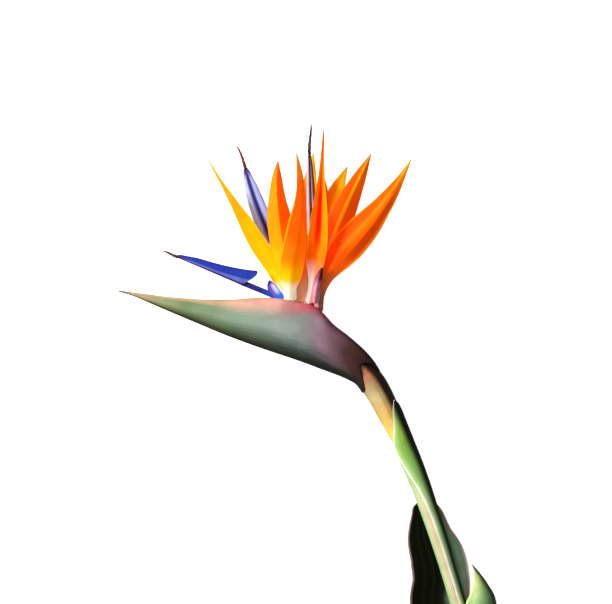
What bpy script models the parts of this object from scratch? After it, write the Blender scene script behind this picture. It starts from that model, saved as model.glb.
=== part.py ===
"""Bird of paradise flower, one picked flower head on its cut stem, lying on its side.

Row frame: metres, +Z up, origin at the bottom centre of the box round the flower.
The head points to -X, the open florets point to +Y and the stem runs down to -Y.
All working points are in millimetres from the crown, the spot where the florets
leave the boat-shaped spathe; the third value is the height above the floor.
"""
import math

import bmesh
import bpy
from mathutils import Vector

MM = 0.001
CROWN = (-2.6, 74.6)           # crown in the row frame, mm
MID = 13.0                     # height of the spathe's middle plane, mm
SIT = 1.04                     # taken off every height so the lowest sheath meets the floor

SPATHE_WALL = 1.1              # wall of the boat
SPATHE_FLOOR = 2.6             # thickness along its keel
SLIT_HALF = 6.7                # half the opening the florets stand in
SHEATH_WALL = 0.75             # papery leaf sheaths
GAP = 0.3                      # clearance kept between neighbours

SEPAL_RIB = 1.7                # sepal thickness on its midrib
SEPAL_EDGE = 0.55              # and at its margins
SEPAL_SHAPE = ((0.0, 0.20), (0.1, 0.25), (0.2, 0.34), (0.28, 0.46), (0.38, 0.72),
               (0.48, 0.95), (0.58, 1.0), (0.7, 0.86), (0.8, 0.66), (0.88, 0.45),
               (0.95, 0.21), (1.0, 0.035))

TUBE_HALF_X = 3.3              # floret tubes, oval
TUBE_HALF_Z = 4.9
TONGUE_STALK = 1.9             # radius of the tongue below its arrow head

# colour and roughness of each kind of tissue
ORANGE = (1.0, 0.36, 0.02, 0.45)
YELLOW = (1.0, 0.66, 0.03, 0.45)
BLUE = (0.05, 0.09, 0.62, 0.60)
LILAC = (0.50, 0.48, 0.78, 0.60)
MAROON = (0.20, 0.03, 0.10, 0.60)
BROWN = (0.22, 0.11, 0.06, 0.85)
SAGE = (0.26, 0.35, 0.25, 0.42)
GREEN = (0.16, 0.34, 0.09, 0.45)
TAN = (0.48, 0.33, 0.12, 0.45)
DARK = (0.03, 0.045, 0.015, 0.50)
CREAM = (0.72, 0.68, 0.40, 0.70)

for old in list(bpy.data.objects):
    bpy.data.objects.remove(old, do_unlink=True)


def place(x, y, z):
    """Point in the row frame from millimetres round the crown."""
    return Vector(((x + CROWN[0]) * MM, (y + CROWN[1]) * MM, (z - SIT) * MM))


def lerp_table(table, t):
    """Read a value from a table of (place along, value)."""
    for (t0, v0), (t1, v1) in zip(table, table[1:]):
        if t <= t1:
            s = (t - t0) / (t1 - t0)
            if isinstance(v0, tuple):
                return tuple(a + (b - a) * s for a, b in zip(v0, v1))
            return v0 + (v1 - v0) * s
    return table[-1][1]


def bezier(points, t):
    a, b, c, d = (Vector(p) for p in points)
    u = 1.0 - t
    return a * u ** 3 + b * 3 * u * u * t + c * 3 * u * t * t + d * t ** 3


def chain(points, t):
    """Smooth path through every point of a list (Catmull-Rom), t from 0 to 1."""
    n = len(points) - 1
    f = min(max(t, 0.0), 1.0) * n
    i = min(int(f), n - 1)
    s = f - i
    p = [points[min(max(k, 0), n)] for k in (i - 1, i, i + 1, i + 2)]
    out = []
    for a, b, c, d in zip(*p):
        out.append(0.5 * (2 * b + (c - a) * s + (2 * a - 5 * b + 4 * c - d) * s * s
                          + (3 * b - a - 3 * c + d) * s ** 3))
    return out


def frame_on(path, t, roll=0.0):
    """Point, right-hand side and face direction of a path, the face turned by roll."""
    e = 0.004
    a, b = Vector(path(max(t - e, 0.0))), Vector(path(min(t + e, 1.0)))
    along = (b - a).normalized()
    up = Vector((0, 0, 1))
    face = (up - along * up.dot(along)).normalized()
    side = along.cross(face)
    r = math.radians(roll)
    return (Vector(path(t)), side * math.cos(r) - face * math.sin(r),
            face * math.cos(r) + side * math.sin(r), along)


def finish(name, bm, colour):
    """Turn a finished skin into a named node with its own material."""
    bmesh.ops.triangulate(bm, faces=bm.faces[:])
    bmesh.ops.recalc_face_normals(bm, faces=bm.faces[:])
    if bm.calc_volume(signed=True) < 0:
        bmesh.ops.reverse_faces(bm, faces=bm.faces[:])
    mesh = bpy.data.meshes.new(name)
    bm.to_mesh(mesh)
    bm.free()
    mat = bpy.data.materials.new(name + "_mat")
    mat.use_nodes = True
    shader = mat.node_tree.nodes["Principled BSDF"]
    shader.inputs["Base Color"].default_value = (*colour[:3], 1.0)
    shader.inputs["Roughness"].default_value = colour[3]
    shader.inputs["Metallic"].default_value = 0.0
    mesh.materials.append(mat)
    obj = bpy.data.objects.new(name, mesh)
    bpy.context.scene.collection.objects.link(obj)
    return obj


def solid(name, rings, colour):
    """Skin over closed rings, the two ends closed by a fan."""
    bm = bmesh.new()
    rows = [[bm.verts.new(place(*p)) for p in ring] for ring in rings]
    n = len(rows[0])
    for lo, hi in zip(rows, rows[1:]):
        for j in range(n):
            k = (j + 1) % n
            bm.faces.new((lo[j], lo[k], hi[k], hi[j]))
    for row, ring in ((rows[0], rings[0]), (rows[-1], rings[-1])):
        mid = sum((Vector(p) for p in ring), Vector()) / n
        hub = bm.verts.new(place(*mid))
        for j in range(n):
            bm.faces.new((row[j], row[(j + 1) % n], hub))
    return finish(name, bm, colour)


def shell(name, outer, inner, colour):
    """Thick open sheet between two equal grids of points."""
    bm = bmesh.new()
    out = [[bm.verts.new(place(*p)) for p in row] for row in outer]
    inn = [[bm.verts.new(place(*p)) for p in row] for row in inner]
    m, n = len(out) - 1, len(out[0]) - 1
    for i in range(m):
        for j in range(n):
            bm.faces.new((out[i][j], out[i][j + 1], out[i + 1][j + 1], out[i + 1][j]))
            bm.faces.new((inn[i][j], inn[i + 1][j], inn[i + 1][j + 1], inn[i][j + 1]))
        for j in (0, n):
            bm.faces.new((out[i][j], out[i + 1][j], inn[i + 1][j], inn[i][j]))
    for j in range(n):
        for i in (0, m):
            bm.faces.new((out[i][j], out[i][j + 1], inn[i][j + 1], inn[i][j]))
    return finish(name, bm, colour)


def rod(name, path, radii, colour, steps=16, sides=12):
    """Round rod along a path; radii is a table over the length, across and deep."""
    rings = []
    for i in range(steps + 1):
        t = i / steps
        p, side, face, _ = frame_on(path, t)
        r = lerp_table(radii, t)
        ra, rb = r if isinstance(r, tuple) else (r, r)
        rings.append([p + side * ra * math.cos(a) + face * rb * math.sin(a)
                      for a in (2 * math.pi * j / sides for j in range(sides))])
    return solid(name, rings, colour)


SEPAL_LOW_BROAD = ((0, .36), (.075, .45), (.13, .63), (.2, .88), (.31, 1.0), (.42, .95),
                   (.55, .85), (.62, .73), (.69, .59), (.77, .45), (.86, .34), (.92, .24),
                   (1, .035))
SEPAL_MID_BROAD = ((0, .34), (.1, .45), (.2, .65), (.3, .85), (.4, .98), (.5, 1.0), (.63, .95),
                   (.73, .74), (.8, .6), (.887, .42), (.943, .24), (1, .035))
SEPAL_WIDE_FOOT = ((0, .50), (.1, .50), (.2, .46), (.28, .50), (.38, .72), (.48, .95),
                   (.58, 1.0), (.7, .86), (.8, .66), (.88, .45), (.95, .21), (1, .035))
SEPAL_SPIRE = ((0, .3), (.1, .3), (.18, .4), (.25, .62), (.31, .86), (.38, .97), (.44, 1.0),
               (.54, .95), (.675, .7), (.77, .42), (.86, .25), (.94, .15), (1, .035))
SEPAL_SAIL = ((0, .25), (.1, .28), (.2, .38), (.25, .48), (.30, .62), (.34, .74), (.40, .88),
              (.5, 1.0), (.58, .97), (.663, .86), (.732, .71), (.824, .50), (.87, .38),
              (.911, .26), (1, .035))


def sepal(name, points, width, fold, roll, colour=ORANGE, steps=13, shape=SEPAL_SHAPE,
          rib=SEPAL_RIB, edge=SEPAL_EDGE):
    """Keeled blade from foot to tip. A positive fold makes a ridge toward the face,
    a negative one a channel; fold and roll run from the foot value to the tip value."""
    rings = []
    for i in range(steps + 1):
        t = i / steps
        f = math.radians(fold[0] + (fold[1] - fold[0]) * t)
        p, side, face, _ = frame_on(lambda s: bezier(points, s), t,
                                    roll[0] + (roll[1] - roll[0]) * t)
        half = lerp_table(shape, t) * width / 2
        thick = min(rib, 0.3 + half * 0.5)
        rim = min(edge, thick * 0.6)
        ring = []
        for u, e in ((-1, 0), (-0.55, 1), (0, 1), (0.55, 1), (1, 0), (0.55, -1), (0, -1),
                     (-0.55, -1)):
            body = rim + (thick - rim) * (1 - abs(u)) ** 0.6
            drop = abs(u) ** 1.25 * half * math.sin(f)
            ring.append(p + side * u * half * math.cos(f) + face * (e * body / 2 - drop))
        rings.append(ring)
    return solid(name, rings, colour)


EVEN_HEAD = ((0.0, 1.0), (0.3, 0.96), (0.53, 0.76), (0.76, 0.42), (0.93, 0.13), (1.0, 0.0))
LONG_HEAD = ((0.0, 1.0), (0.3, 0.80), (0.53, 0.64), (0.76, 0.50), (0.93, 0.28), (1.0, 0.16))


def tongue(name, points, length, wide, tall, colour, roll=0.0, flick=0.0, barb=5.5,
           keel=0.0, taper=EVEN_HEAD):
    """Arrow-headed petal: a round stalk, two backward barbs and a grooved head. A keel
    depth keeps the under side in line with the stalk, so the lobes stand on top."""
    neck = 1.0 - length
    rings = []
    stations = [neck * i / 6 for i in range(7)]
    stations += [neck + length * i / 10 for i in range(1, 11)]
    for t in stations:
        p, side, face, along = frame_on(lambda s: bezier(points, s), t, roll)
        s = max(0.0, (t - neck) / length)
        head = lerp_table(taper, s) if s > 0 else 0.0
        half = max(TONGUE_STALK if s == 0 else 0.5, wide / 2 * head)
        high = max(TONGUE_STALK if s == 0 else 0.5, tall / 2 * head)
        back = -barb * max(0.0, 1 - 3.0 * s) if s > 0 else 0.0
        deep = keel * (1 - 0.6 * s) if keel and s > 0 else high
        rise = flick * max(0.0, 1 - 2.0 * s) ** 2 if s > 0 else 0.0
        ring = []
        for u, v, b in ((0, -1, 0), (0.62, -0.35, 0), (1, 0.55, 1), (0.5, 0.75, 0.6),
                        (0, 0.35, 0), (-0.5, 0.75, 0.6), (-1, 0.55, 1),
                        (-0.62, -0.35, 0)):
            ring.append(p + side * u * half + face * (v * (high if v > 0 else deep) + b * rise)
                        + along * b * back)
        rings.append(ring)
    return solid(name, rings, colour)


def sheath(name, stations, colour, wall=SHEATH_WALL, spiral=0.0, across=14):
    """Leaf sheath: each station is centre x, y, height, radius, first and last angle.
    Angles turn from the face (0) to the right (90); spiral widens the first turn, so
    that the first edge lies over the last one."""
    outer, inner = [], []
    steps = 2 * (len(stations) - 1)
    path = lambda t: chain(stations, t)[:2] + [0.0]
    for i in range(steps + 1):
        t = i / steps
        _, _, high, r, a0, a1 = chain(stations, t)
        p, side, face, _ = frame_on(path, t)
        p, side = p + face * high, -side
        row_o, row_i = [], []
        for j in range(across + 1):
            f = j / across
            a = math.radians(a0 + (a1 - a0) * f)
            d = side * math.sin(a) + face * math.cos(a)
            grow = spiral * max(0.0, 160 - math.degrees(a)) / 260
            thin = wall * (0.55 + 0.45 * math.sin(math.pi * f))
            row_i.append(p + d * (r + grow))
            row_o.append(p + d * (r + grow + thin))
        outer.append(row_o)
        inner.append(row_i)
    return shell(name, outer, inner, colour)


# --- spathe: keel x, y, rim x, y, half width, half opening ---------------------------
HULL = (
    (-116.5, 7.9, -116.3, 8.7, 0.45, 0.25), (-107.0, 5.0, -107.0, 7.4, 1.2, 0.5),
    (-98.0, 1.2, -97.5, 6.2, 2.4, 1.0), (-85.0, -4.4, -83.0, 4.4, 4.4, 1.4),
    (-67.0, -12.0, -64.0, 3.0, 7.4, 1.5), (-49.0, -19.5, -46.0, 2.8, 10.3, 1.6),
    (-33.0, -25.5, -30.0, 3.9, 12.3, 1.9), (-20.0, -30.0, -18.0, 3.9, 13.2, 4.4),
    (-11.0, -33.0, -11.5, 3.0, 13.4, SLIT_HALF), (-3.0, -35.7, -3.0, 1.3, 13.4, SLIT_HALF),
    (5.0, -38.6, 5.0, -0.5, 13.4, SLIT_HALF), (12.0, -41.3, 12.5, -5.5, 13.0, 6.2),
    (19.0, -43.8, 19.5, -13.0, 12.1, 3.4), (25.0, -46.2, 28.4, -19.8, 10.9, 1.9),
    (30.0, -48.6, 38.4, -28.6, 9.8, 1.5), (33.6, -51.0, 44.5, -35.5, 9.6, 1.4),
    (35.9, -52.6, 48.5, -41.6, 9.5, 1.4),
)


def hull_rows(side_steps=7):
    """Outer and inner grids of the boat, from one rim round the keel to the other."""
    outer, inner = [], []
    for kx, ky, rx, ry, half, slit in HULL:
        keel, rim = Vector((kx, ky, MID)), Vector((rx, ry, MID))
        tall = (rim - keel).length
        wall = min(SPATHE_WALL, 0.45 * half)
        floor = min(SPATHE_FLOOR * min(1.0, max(0.42, (tall - 12) / 20)) / tall, 0.45)
        row_o, row_i = [], []
        for j in range(-side_steps, side_steps + 1):
            theta = math.pi * abs(j) / side_steps
            s = -1 if j < 0 else 1
            h = (1 - math.cos(theta)) / 2
            w = half * math.sin(theta) ** 0.85 * (1 - 0.25 * h) + slit * h ** 5
            w = max(w, slit * h ** 5)
            w_in = w - min(wall, 0.55 * w)
            h_in = floor + (1 - floor) * h
            row_o.append(keel.lerp(rim, h) + Vector((0, 0, s * w)))
            row_i.append(keel.lerp(rim, h_in) + Vector((0, 0, s * w_in)))
        outer.append(row_o)
        inner.append(row_i)
    return outer, inner


shell("spathe", *hull_rows(), SAGE)

# --- stem: carries on inside the spathe as the axis the florets stand on --------------
STEM = ((117.0, -262.0, 8.6), (112.6, -244.0, 8.8), (107.6, -224.0, 9.4),
        (102.6, -205.5, 9.8), (97.2, -187.0, 10.0), (92.0, -168.8, 10.2),
        (86.3, -150.0, 10.6), (80.6, -133.0, 11.0), (74.7, -116.0, 11.4),
        (68.7, -100.8, 11.9), (62.1, -85.7, 12.5), (55.1, -70.6, 13.0),
        (48.6, -57.6, 13.0), (42.0, -47.0, 13.0), (35.0, -38.8, 13.0),
        (26.0, -32.4, 13.0), (15.0, -29.4, 13.0), (4.0, -28.2, 13.0), (-6.0, -26.8, 13.0))
STEM_R = ((0.0, 5.4), (0.04, 5.3), (0.07, 5.7), (0.10, 5.4), (0.14, 4.6), (0.19, 3.9),
          (0.277, 3.9), (0.329, 4.4), (0.386, 4.8), (0.443, 5.0), (0.499, 5.3),
          (0.556, 5.8), (0.613, 7.3), (0.665, 7.5), (0.698, 6.9), (0.721, 6.4),
          (0.778, 5.8), (0.83, 4.8), (0.887, 4.2), (0.943, 3.6), (1.0, 2.6))
rod("scape", lambda t: chain(STEM, t), STEM_R, TAN, steps=36, sides=14)

# --- leaf sheaths ---------------------------------------------------------------------
# stem place, radius, first and last angle; the upper one overlaps itself in front
UPPER = ((51.5, -63.4, 13.0, 7.9, 46, 54), (53.8, -68.0, 13.0, 7.8, 20, 92),
         (58.1, -77.0, 12.8, 7.1, -8, 168), (63.1, -88.0, 12.4, 6.5, -54, 232),
         (68.7, -100.8, 11.9, 6.1, -50, 318), (74.7, -116.0, 11.4, 5.6, -22, 350),
         (80.6, -133.0, 11.0, 5.15, -3, 366), (86.3, -150.0, 10.6, 4.95, 0, 370),
         (92.0, -168.8, 10.2, 4.5, 4, 374), (96.7, -185.0, 10.0, 4.4, 8, 378),
         (99.9, -196.5, 9.9, 4.5, 9, 379))
sheath("upper_sheath", UPPER, GREEN, wall=0.6, spiral=1.0, across=18)
# wide dark one the stem lies in, gathered round the stem at its foot
LOWER = ((79.2, -121.5, 17.0, 14.0, 176, 184), (78.8, -127.5, 23.0, 21.0, 156, 206),
         (79.4, -133.0, 27.4, 25.4, 151, 206), (81.4, -146.8, 32.0, 30.0, 149, 211),
         (85.6, -160.7, 32.0, 30.0, 144, 216), (87.0, -174.0, 32.0, 30.0, 143, 216),
         (87.0, -189.0, 32.0, 30.0, 142, 220), (92.5, -205.0, 28.2, 26.2, 136, 226),
         (100.5, -220.0, 18.6, 16.6, 128, 240), (108.0, -234.0, 11.6, 9.6, 124, 292),
         (112.9, -246.0, 8.8, 6.4, 120, 335))
sheath("lower_sheath", LOWER, DARK, wall=0.9)
# curled one standing off to the right
SIDE = ((103.6, -166.3, 12.0, 3.0, 80, 100), (107.4, -172.0, 11.8, 4.2, 0, 140),
        (110.2, -180.0, 11.6, 7.0, -44, 150), (111.8, -189.0, 11.6, 9.5, -72, 150),
        (111.6, -205.0, 11.4, 10.0, -50, 138), (111.2, -220.0, 10.4, 9.6, -42, 122),
        (111.5, -234.0, 9.2, 8.2, -25, 112), (112.9, -246.0, 8.6, 6.4, -15, 108))
sheath("side_sheath", SIDE, CREAM, wall=0.8)

# --- florets --------------------------------------------------------------------------
TUBES = {"a": ((-3.5, -22.2), (-9.3, 0.2)), "b": ((3.5, -23.2), (0.2, -0.6)),
         "c": ((10.6, -23.8), (8.6, -3.2))}
for key, ((x0, y0), (x1, y1)) in TUBES.items():
    spine = ((x0, y0, MID), (x0 + (x1 - x0) * 0.1, y0 + 8, MID), (x1, y1 - 9, MID),
             (x1, y1, MID))
    rod("floret_tube_" + key, lambda t, s=spine: bezier(s, t),
        ((0.0, (2.6, 2.8)), (0.5, (2.9, 3.6)), (1.0, (TUBE_HALF_X, TUBE_HALF_Z))),
        CREAM, steps=6, sides=12)

sepal("sepal_a1", ((-9.5, 2.2, 11.8), (-16.0, 18, 9.6), (-39.0, 54, 8.6),
                   (-58.6, 89.6, 10.0)), 18.0, (6, 4), (-14, -88), YELLOW)
sepal("sepal_a2", ((-6.9, 1.6, 14.4), (-9.0, 24, 18.6), (-20.0, 58, 27.0),
                   (-15.6, 90.2, 18.0)), 17.0, (14, 24), (-6, -8), shape=SEPAL_MID_BROAD)
sepal("sepal_a3", ((-8.6, 1.0, 16.9), (-10.5, 26, 24.0), (6.0, 60, 34.0),
                   (-4.0, 93.8, 35.0)), 16.5, (14, 30), (-6, 46), shape=SEPAL_LOW_BROAD)
sepal("sepal_b1", ((-0.9, 0.6, 12.8), (-0.6, 20, 8.8), (0.5, 56, 11.5),
                   (6.6, 95.4, 9.5)), 17.0, (3, 16), (-8, -18), shape=SEPAL_WIDE_FOOT)
sepal("sepal_b2", ((3.4, 0.2, 16.9), (9.5, 26, 20.0), (10.4, 58, 28.0),
                   (13.1, 111.2, 40.0)), 17.0, (-34, -56), (0, 0), shape=SEPAL_SPIRE)
sepal("sepal_b3", ((3.2, -0.2, 9.4), (5.5, 22, 7.4), (13.5, 52, 9.2),
                   (11.6, 86.4, 7.5)), 15.0, (10, 16), (-30, -42))
sepal("sepal_c1", ((7.6, -2.0, 9.6), (9.0, 24, 4.4), (12.6, 58, 4.0),
                   (28.2, 87.2, 4.0)), 17.5, (8, 14), (-6, -12))
sepal("sepal_c2", ((10.0, -2.2, 13.4), (9.8, 30, 17.0), (27.0, 62, 18.0),
                   (42.8, 94.6, 18.0)), 17.5, (16, 30), (-8, 0))
sepal("sepal_c3", ((9.0, -2.6, 16.9), (8.2, 31, 23.0), (43.0, 41.5, 28.0),
                   (67.4, 90.4, 28.0)), 22.0, (14, 26), (-6, -10), shape=SEPAL_SAIL)

tongue("tongue_a", ((-14.4, 3.8, 13.0), (-27.0, 9.0, 13.0), (-50.0, 18.4, 14.0),
                    (-79.8, 30.2, 14.0)), 0.56, 9.0, 17.6, BLUE, roll=84, flick=4.0,
       barb=7.0, keel=1.9, taper=LONG_HEAD)
tongue("tongue_b", ((-3.2, 0.6, 9.9), (-10.0, 20.0, 7.0), (-27.0, 50.0, 4.6),
                    (-36.6, 87.0, 6.0)), 0.46, 11.4, 6.4, LILAC)
tongue("tongue_c", ((6.0, -1.6, 13.0), (6.6, 30.0, 14.5), (5.0, 66.0, 17.5),
                    (4.0, 96.0, 20.0)), 0.50, 8.5, 7.0, MAROON)


def stigma(name, points):
    rod(name, lambda t: bezier(points, t), ((0.0, 0.75), (0.5, 1.0), (1.0, 0.45)), BROWN,
        steps=5, sides=8)


stigma("stigma_a", ((-80.4, 30.3, 14.0), (-83.0, 30.6, 14.2), (-85.5, 33.4, 14.2),
                    (-88.8, 33.4, 14.0)))
stigma("stigma_b", ((-36.8, 87.5, 6.0), (-38.4, 92.0, 6.2), (-39.0, 96.0, 6.2),
                    (-42.4, 100.6, 6.0)))
stigma("stigma_c", ((4.0, 96.5, 20.0), (3.6, 102.0, 20.6), (5.6, 108.0, 21.4),
                    (5.0, 113.6, 22.0)))

HOOD = ((0.0, 0.5), (0.3, 0.95), (0.55, 1.0), (0.8, 0.7), (1.0, 0.1))
sepal("hood_a", ((-14.4, 5.2, 16.2), (-17.4, 7.4, 16.2), (-20.4, 10.2, 16.2),
                 (-21.0, 15.0, 16.4)), 7.6, (-34, -34), (0, 0), BLUE, 7, HOOD, 1.0, 0.4)
sepal("hood_c", ((7.2, 0.2, 20.4), (7.6, 8.0, 21.0), (9.6, 16.0, 24.6),
                 (12.0, 23.0, 26.4)), 5.6, (34, 34), (0, 0), MAROON, 7, HOOD, 1.0, 0.4)
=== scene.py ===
"""Bird of paradise flower: the finished look of one picked flower head lying on its side.

The head points to -X, the open florets to +Y, and the stem runs down to -Y.
Working points are millimetres from the crown, where the florets leave the spathe;
the third value is the height above the floor before the flower is settled on it.
"""
import math

import bmesh
import bpy
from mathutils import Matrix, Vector, noise


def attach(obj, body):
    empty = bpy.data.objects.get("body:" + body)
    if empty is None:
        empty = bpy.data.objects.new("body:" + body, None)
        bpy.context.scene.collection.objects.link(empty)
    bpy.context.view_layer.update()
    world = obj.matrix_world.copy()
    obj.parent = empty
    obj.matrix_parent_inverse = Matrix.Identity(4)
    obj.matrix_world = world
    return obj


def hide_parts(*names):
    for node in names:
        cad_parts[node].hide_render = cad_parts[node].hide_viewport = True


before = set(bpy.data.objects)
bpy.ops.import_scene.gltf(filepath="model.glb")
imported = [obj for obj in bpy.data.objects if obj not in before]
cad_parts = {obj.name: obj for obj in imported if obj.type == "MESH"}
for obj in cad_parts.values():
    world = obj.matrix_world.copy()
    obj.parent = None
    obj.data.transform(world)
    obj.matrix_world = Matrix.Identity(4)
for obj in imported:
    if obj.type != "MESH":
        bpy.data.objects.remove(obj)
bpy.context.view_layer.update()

MM = 0.001
CROWN = (-2.6, 74.6)     # the crown's place in the whole part, across and up
SIT = 1.04               # how far the working heights settle onto the floor
MID = 13.0               # height of the middle of the spathe
PATH_STEP = 0.004        # half the stretch of a path that gives its direction


def place(p):
    """Point in metres from millimetres round the crown."""
    return Vector(((p[0] + CROWN[0]) * MM, (p[1] + CROWN[1]) * MM, (p[2] - SIT) * MM))


def clamp(x, lo=0.0, hi=1.0):
    return max(lo, min(hi, x))


def smooth(x, lo=0.0, hi=1.0):
    s = clamp((x - lo) / (hi - lo))
    return s * s * (3 - 2 * s)


def table(rows, t):
    """Value at t from rows of (place, value), in straight steps between them."""
    for (t0, v0), (t1, v1) in zip(rows, rows[1:]):
        if t <= t1:
            return v0 + (v1 - v0) * clamp((t - t0) / (t1 - t0))
    return rows[-1][1]


def bezier(points, t):
    a, b, c, d = (Vector(p) for p in points)
    u = 1.0 - t
    return a * u ** 3 + b * 3 * u * u * t + c * 3 * u * t * t + d * t ** 3


def chain(points, t):
    """Smooth path through every row of numbers, t from 0 to 1."""
    n = len(points) - 1
    f = clamp(t) * n
    i = min(int(f), n - 1)
    s = f - i
    rows = [points[min(max(k, 0), n)] for k in (i - 1, i, i + 1, i + 2)]
    return [0.5 * (2 * b + (c - a) * s + (2 * a - 5 * b + 4 * c - d) * s * s
                   + (3 * b - a - 3 * c + d) * s ** 3) for a, b, c, d in zip(*rows)]


def frame_on(path, t, roll=0.0):
    """Point, right-hand side, face and forward direction of a path at t."""
    ahead, behind = path(min(t + PATH_STEP, 1.0)), path(max(t - PATH_STEP, 0.0))
    along = (Vector(ahead) - Vector(behind)).normalized()
    up = Vector((0, 0, 1))
    face = (up - along * up.dot(along)).normalized()
    side = along.cross(face)
    r = math.radians(roll)
    return (Vector(path(t)), side * math.cos(r) - face * math.sin(r),
            face * math.cos(r) + side * math.sin(r), along)


# ======================================================================================
# Material workshop
# ======================================================================================
class Bench:
    """Short way to add and wire nodes in one tree."""

    def __init__(self, tree):
        self.tree = tree

    def new(self, kind, **facts):
        node = self.tree.nodes.new(kind)
        for key, value in facts.items():
            setattr(node, key, value)
        return node

    def put(self, socket, value):
        if isinstance(value, bpy.types.NodeSocket):
            self.tree.links.new(value, socket)
        elif value is not None:
            if socket.type == "RGBA" and len(value) == 3:
                value = (*value, 1.0)
            socket.default_value = value

    def math(self, op, a, b=None, c=None, clip=False):
        node = self.new("ShaderNodeMath", operation=op, use_clamp=clip)
        for socket, value in zip(node.inputs, (a, b, c)):
            self.put(socket, value)
        return node.outputs[0]

    def vec(self, op, a, b=None, scale=None):
        node = self.new("ShaderNodeVectorMath", operation=op)
        self.put(node.inputs[0], a)
        self.put(node.inputs[1], b)
        if scale is not None:
            self.put(node.inputs["Scale"], scale)
        return node.outputs["Value" if op == "DOT_PRODUCT" else "Vector"]

    def add(self, a, b):
        return self.math("ADD", a, b)

    def sub(self, a, b):
        return self.math("SUBTRACT", a, b)

    def mul(self, a, b):
        return self.math("MULTIPLY", a, b)

    def scaled(self, a, factor):
        return self.vec("SCALE", a, scale=factor)

    def xyz(self, x=0.0, y=0.0, z=0.0):
        node = self.new("ShaderNodeCombineXYZ")
        for socket, value in zip(node.inputs, (x, y, z)):
            self.put(socket, value)
        return node.outputs[0]

    def split(self, vector):
        node = self.new("ShaderNodeSeparateXYZ")
        self.put(node.inputs[0], vector)
        return node.outputs

    def cloud(self, where, scale=1.0, detail=2.0):
        """Soft noise, 0 to 1, read at where."""
        node = self.new("ShaderNodeTexNoise", noise_dimensions="3D")
        for name, value in (("Vector", where), ("Scale", scale), ("Detail", detail)):
            self.put(node.inputs[name], value)
        return node.outputs["Fac"]

    def own_place(self):
        return self.new("ShaderNodeTexCoord").outputs["Object"]

    def step(self, kind, out=0, facts=(), **values):
        """Node with its inputs put by name; an underline stands for a space."""
        node = self.new(kind, **dict(facts))
        for name, value in values.items():
            self.put(node.inputs[name.replace("_", " ")], value)
        return node.outputs[out]

    def ramp01(self, x, lo, hi):
        """0 below lo, 1 above hi, eased between."""
        node = self.new("ShaderNodeMapRange", interpolation_type="SMOOTHSTEP")
        for name, value in (("Value", x), ("From Min", lo), ("From Max", hi)):
            self.put(node.inputs[name], value)
        return node.outputs["Result"]

    def fade(self, x, lo, hi):
        """1 below lo, 0 above hi, eased between."""
        return self.sub(1.0, self.ramp01(x, lo, hi))

    def mix(self, fac, a, b, how="MIX"):
        node = self.new("ShaderNodeMix", data_type="RGBA", blend_type=how)
        self.put(node.inputs["Factor"], fac)
        self.put(node.inputs[6], a)      # the colour sockets come after the plain ones
        self.put(node.inputs[7], b)
        return node.outputs[2]

    def toned(self, tint, colour):
        """Tint multiplied by a swatch colour."""
        return self.mix(1.0, tint, rgb(colour), how="MULTIPLY")

    def tints(self, x, stops):
        """Colours along x; stops are (place, colour)."""
        node = self.new("ShaderNodeValToRGB")
        ramp = node.color_ramp
        while len(ramp.elements) < len(stops):
            ramp.elements.new(0.5)
        for element, (where, _) in zip(ramp.elements, stops):
            element.position = where
        for element, (_, colour) in zip(ramp.elements, stops):
            element.color = (*rgb(colour), 1.0)
        self.put(node.inputs["Fac"], x)
        return node.outputs["Color"]

    def band(self, x, centre, half, soft):
        """1 within half of centre, easing to 0 over soft."""
        return self.fade(self.math("ABSOLUTE", self.sub(x, centre)), half, half + soft)


def rgb(c):
    """Linear colour from the 0 to 255 values a painter's swatch gives. A single number
    is an orange with that much green in it."""
    if isinstance(c, int):
        c = (255, c, 0)
    return tuple(((v / 255 + 0.055) / 1.055) ** 2.4 if v > 10 else v / 255 / 12.92 for v in c)


def group(name, ins, outs, kind="ShaderNodeTree"):
    """Empty node group with named sockets, and the identifiers of its inputs."""
    tree = bpy.data.node_groups.new(name, kind)
    ids = {}
    for label, socket_kind, value in ins:
        socket = tree.interface.new_socket(label, in_out="INPUT", socket_type=socket_kind)
        if value is not None:
            socket.default_value = value
        ids[label] = socket.identifier
    for label, socket_kind in outs:
        tree.interface.new_socket(label, in_out="OUTPUT", socket_type=socket_kind)
    b = Bench(tree)
    return tree, b, b.new("NodeGroupInput").outputs, b.new("NodeGroupOutput").inputs, ids


FLOAT, COLOUR, VECTOR = "NodeSocketFloat", "NodeSocketColor", "NodeSocketVector"
INT, MAT = "NodeSocketInt", "NodeSocketMaterial"
TURN = 6.2832            # one whole turn
GOLDEN_TURN = 2.39996    # turn from one fibre of the cut to the next
SPINE_STEPS = 96         # steps along the spine of a blade
UP = (0.0, 0.0, 1.0)


def make_veins():
    """Fine parallel veins that run the length of a leaf or petal."""
    tree, b, i, o, _ = group(
        "parallel_veins",
        [("Across", FLOAT, 0.5), ("Along", FLOAT, 0.5), ("Count", FLOAT, 26.0),
         ("Wander", FLOAT, 0.25), ("Fleck", FLOAT, 0.5)],
        [("Line", FLOAT), ("Fleck", FLOAT), ("Height", FLOAT)])
    sway = b.cloud(b.xyz(b.mul(i["Across"], 5.0), b.mul(i["Along"], 7.0)))
    shift = b.mul(b.sub(sway, 0.5), i["Wander"])
    phase = b.mul(b.add(i["Across"], b.mul(shift, 0.2)), b.mul(i["Count"], TURN))
    wave = b.math("MULTIPLY_ADD", b.math("SINE", phase), 0.5, 0.5)
    line = b.math("POWER", wave, 3.0)
    fine = b.xyz(b.mul(i["Across"], b.mul(i["Count"], 2.4)), b.mul(i["Along"], 9.0))
    grit = b.cloud(fine, detail=3.0)
    b.put(o["Line"], line)
    b.put(o["Fleck"], b.mul(b.sub(grit, 0.5), i["Fleck"]))
    b.put(o["Height"], b.add(b.mul(line, 0.6), grit))
    return tree


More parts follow.
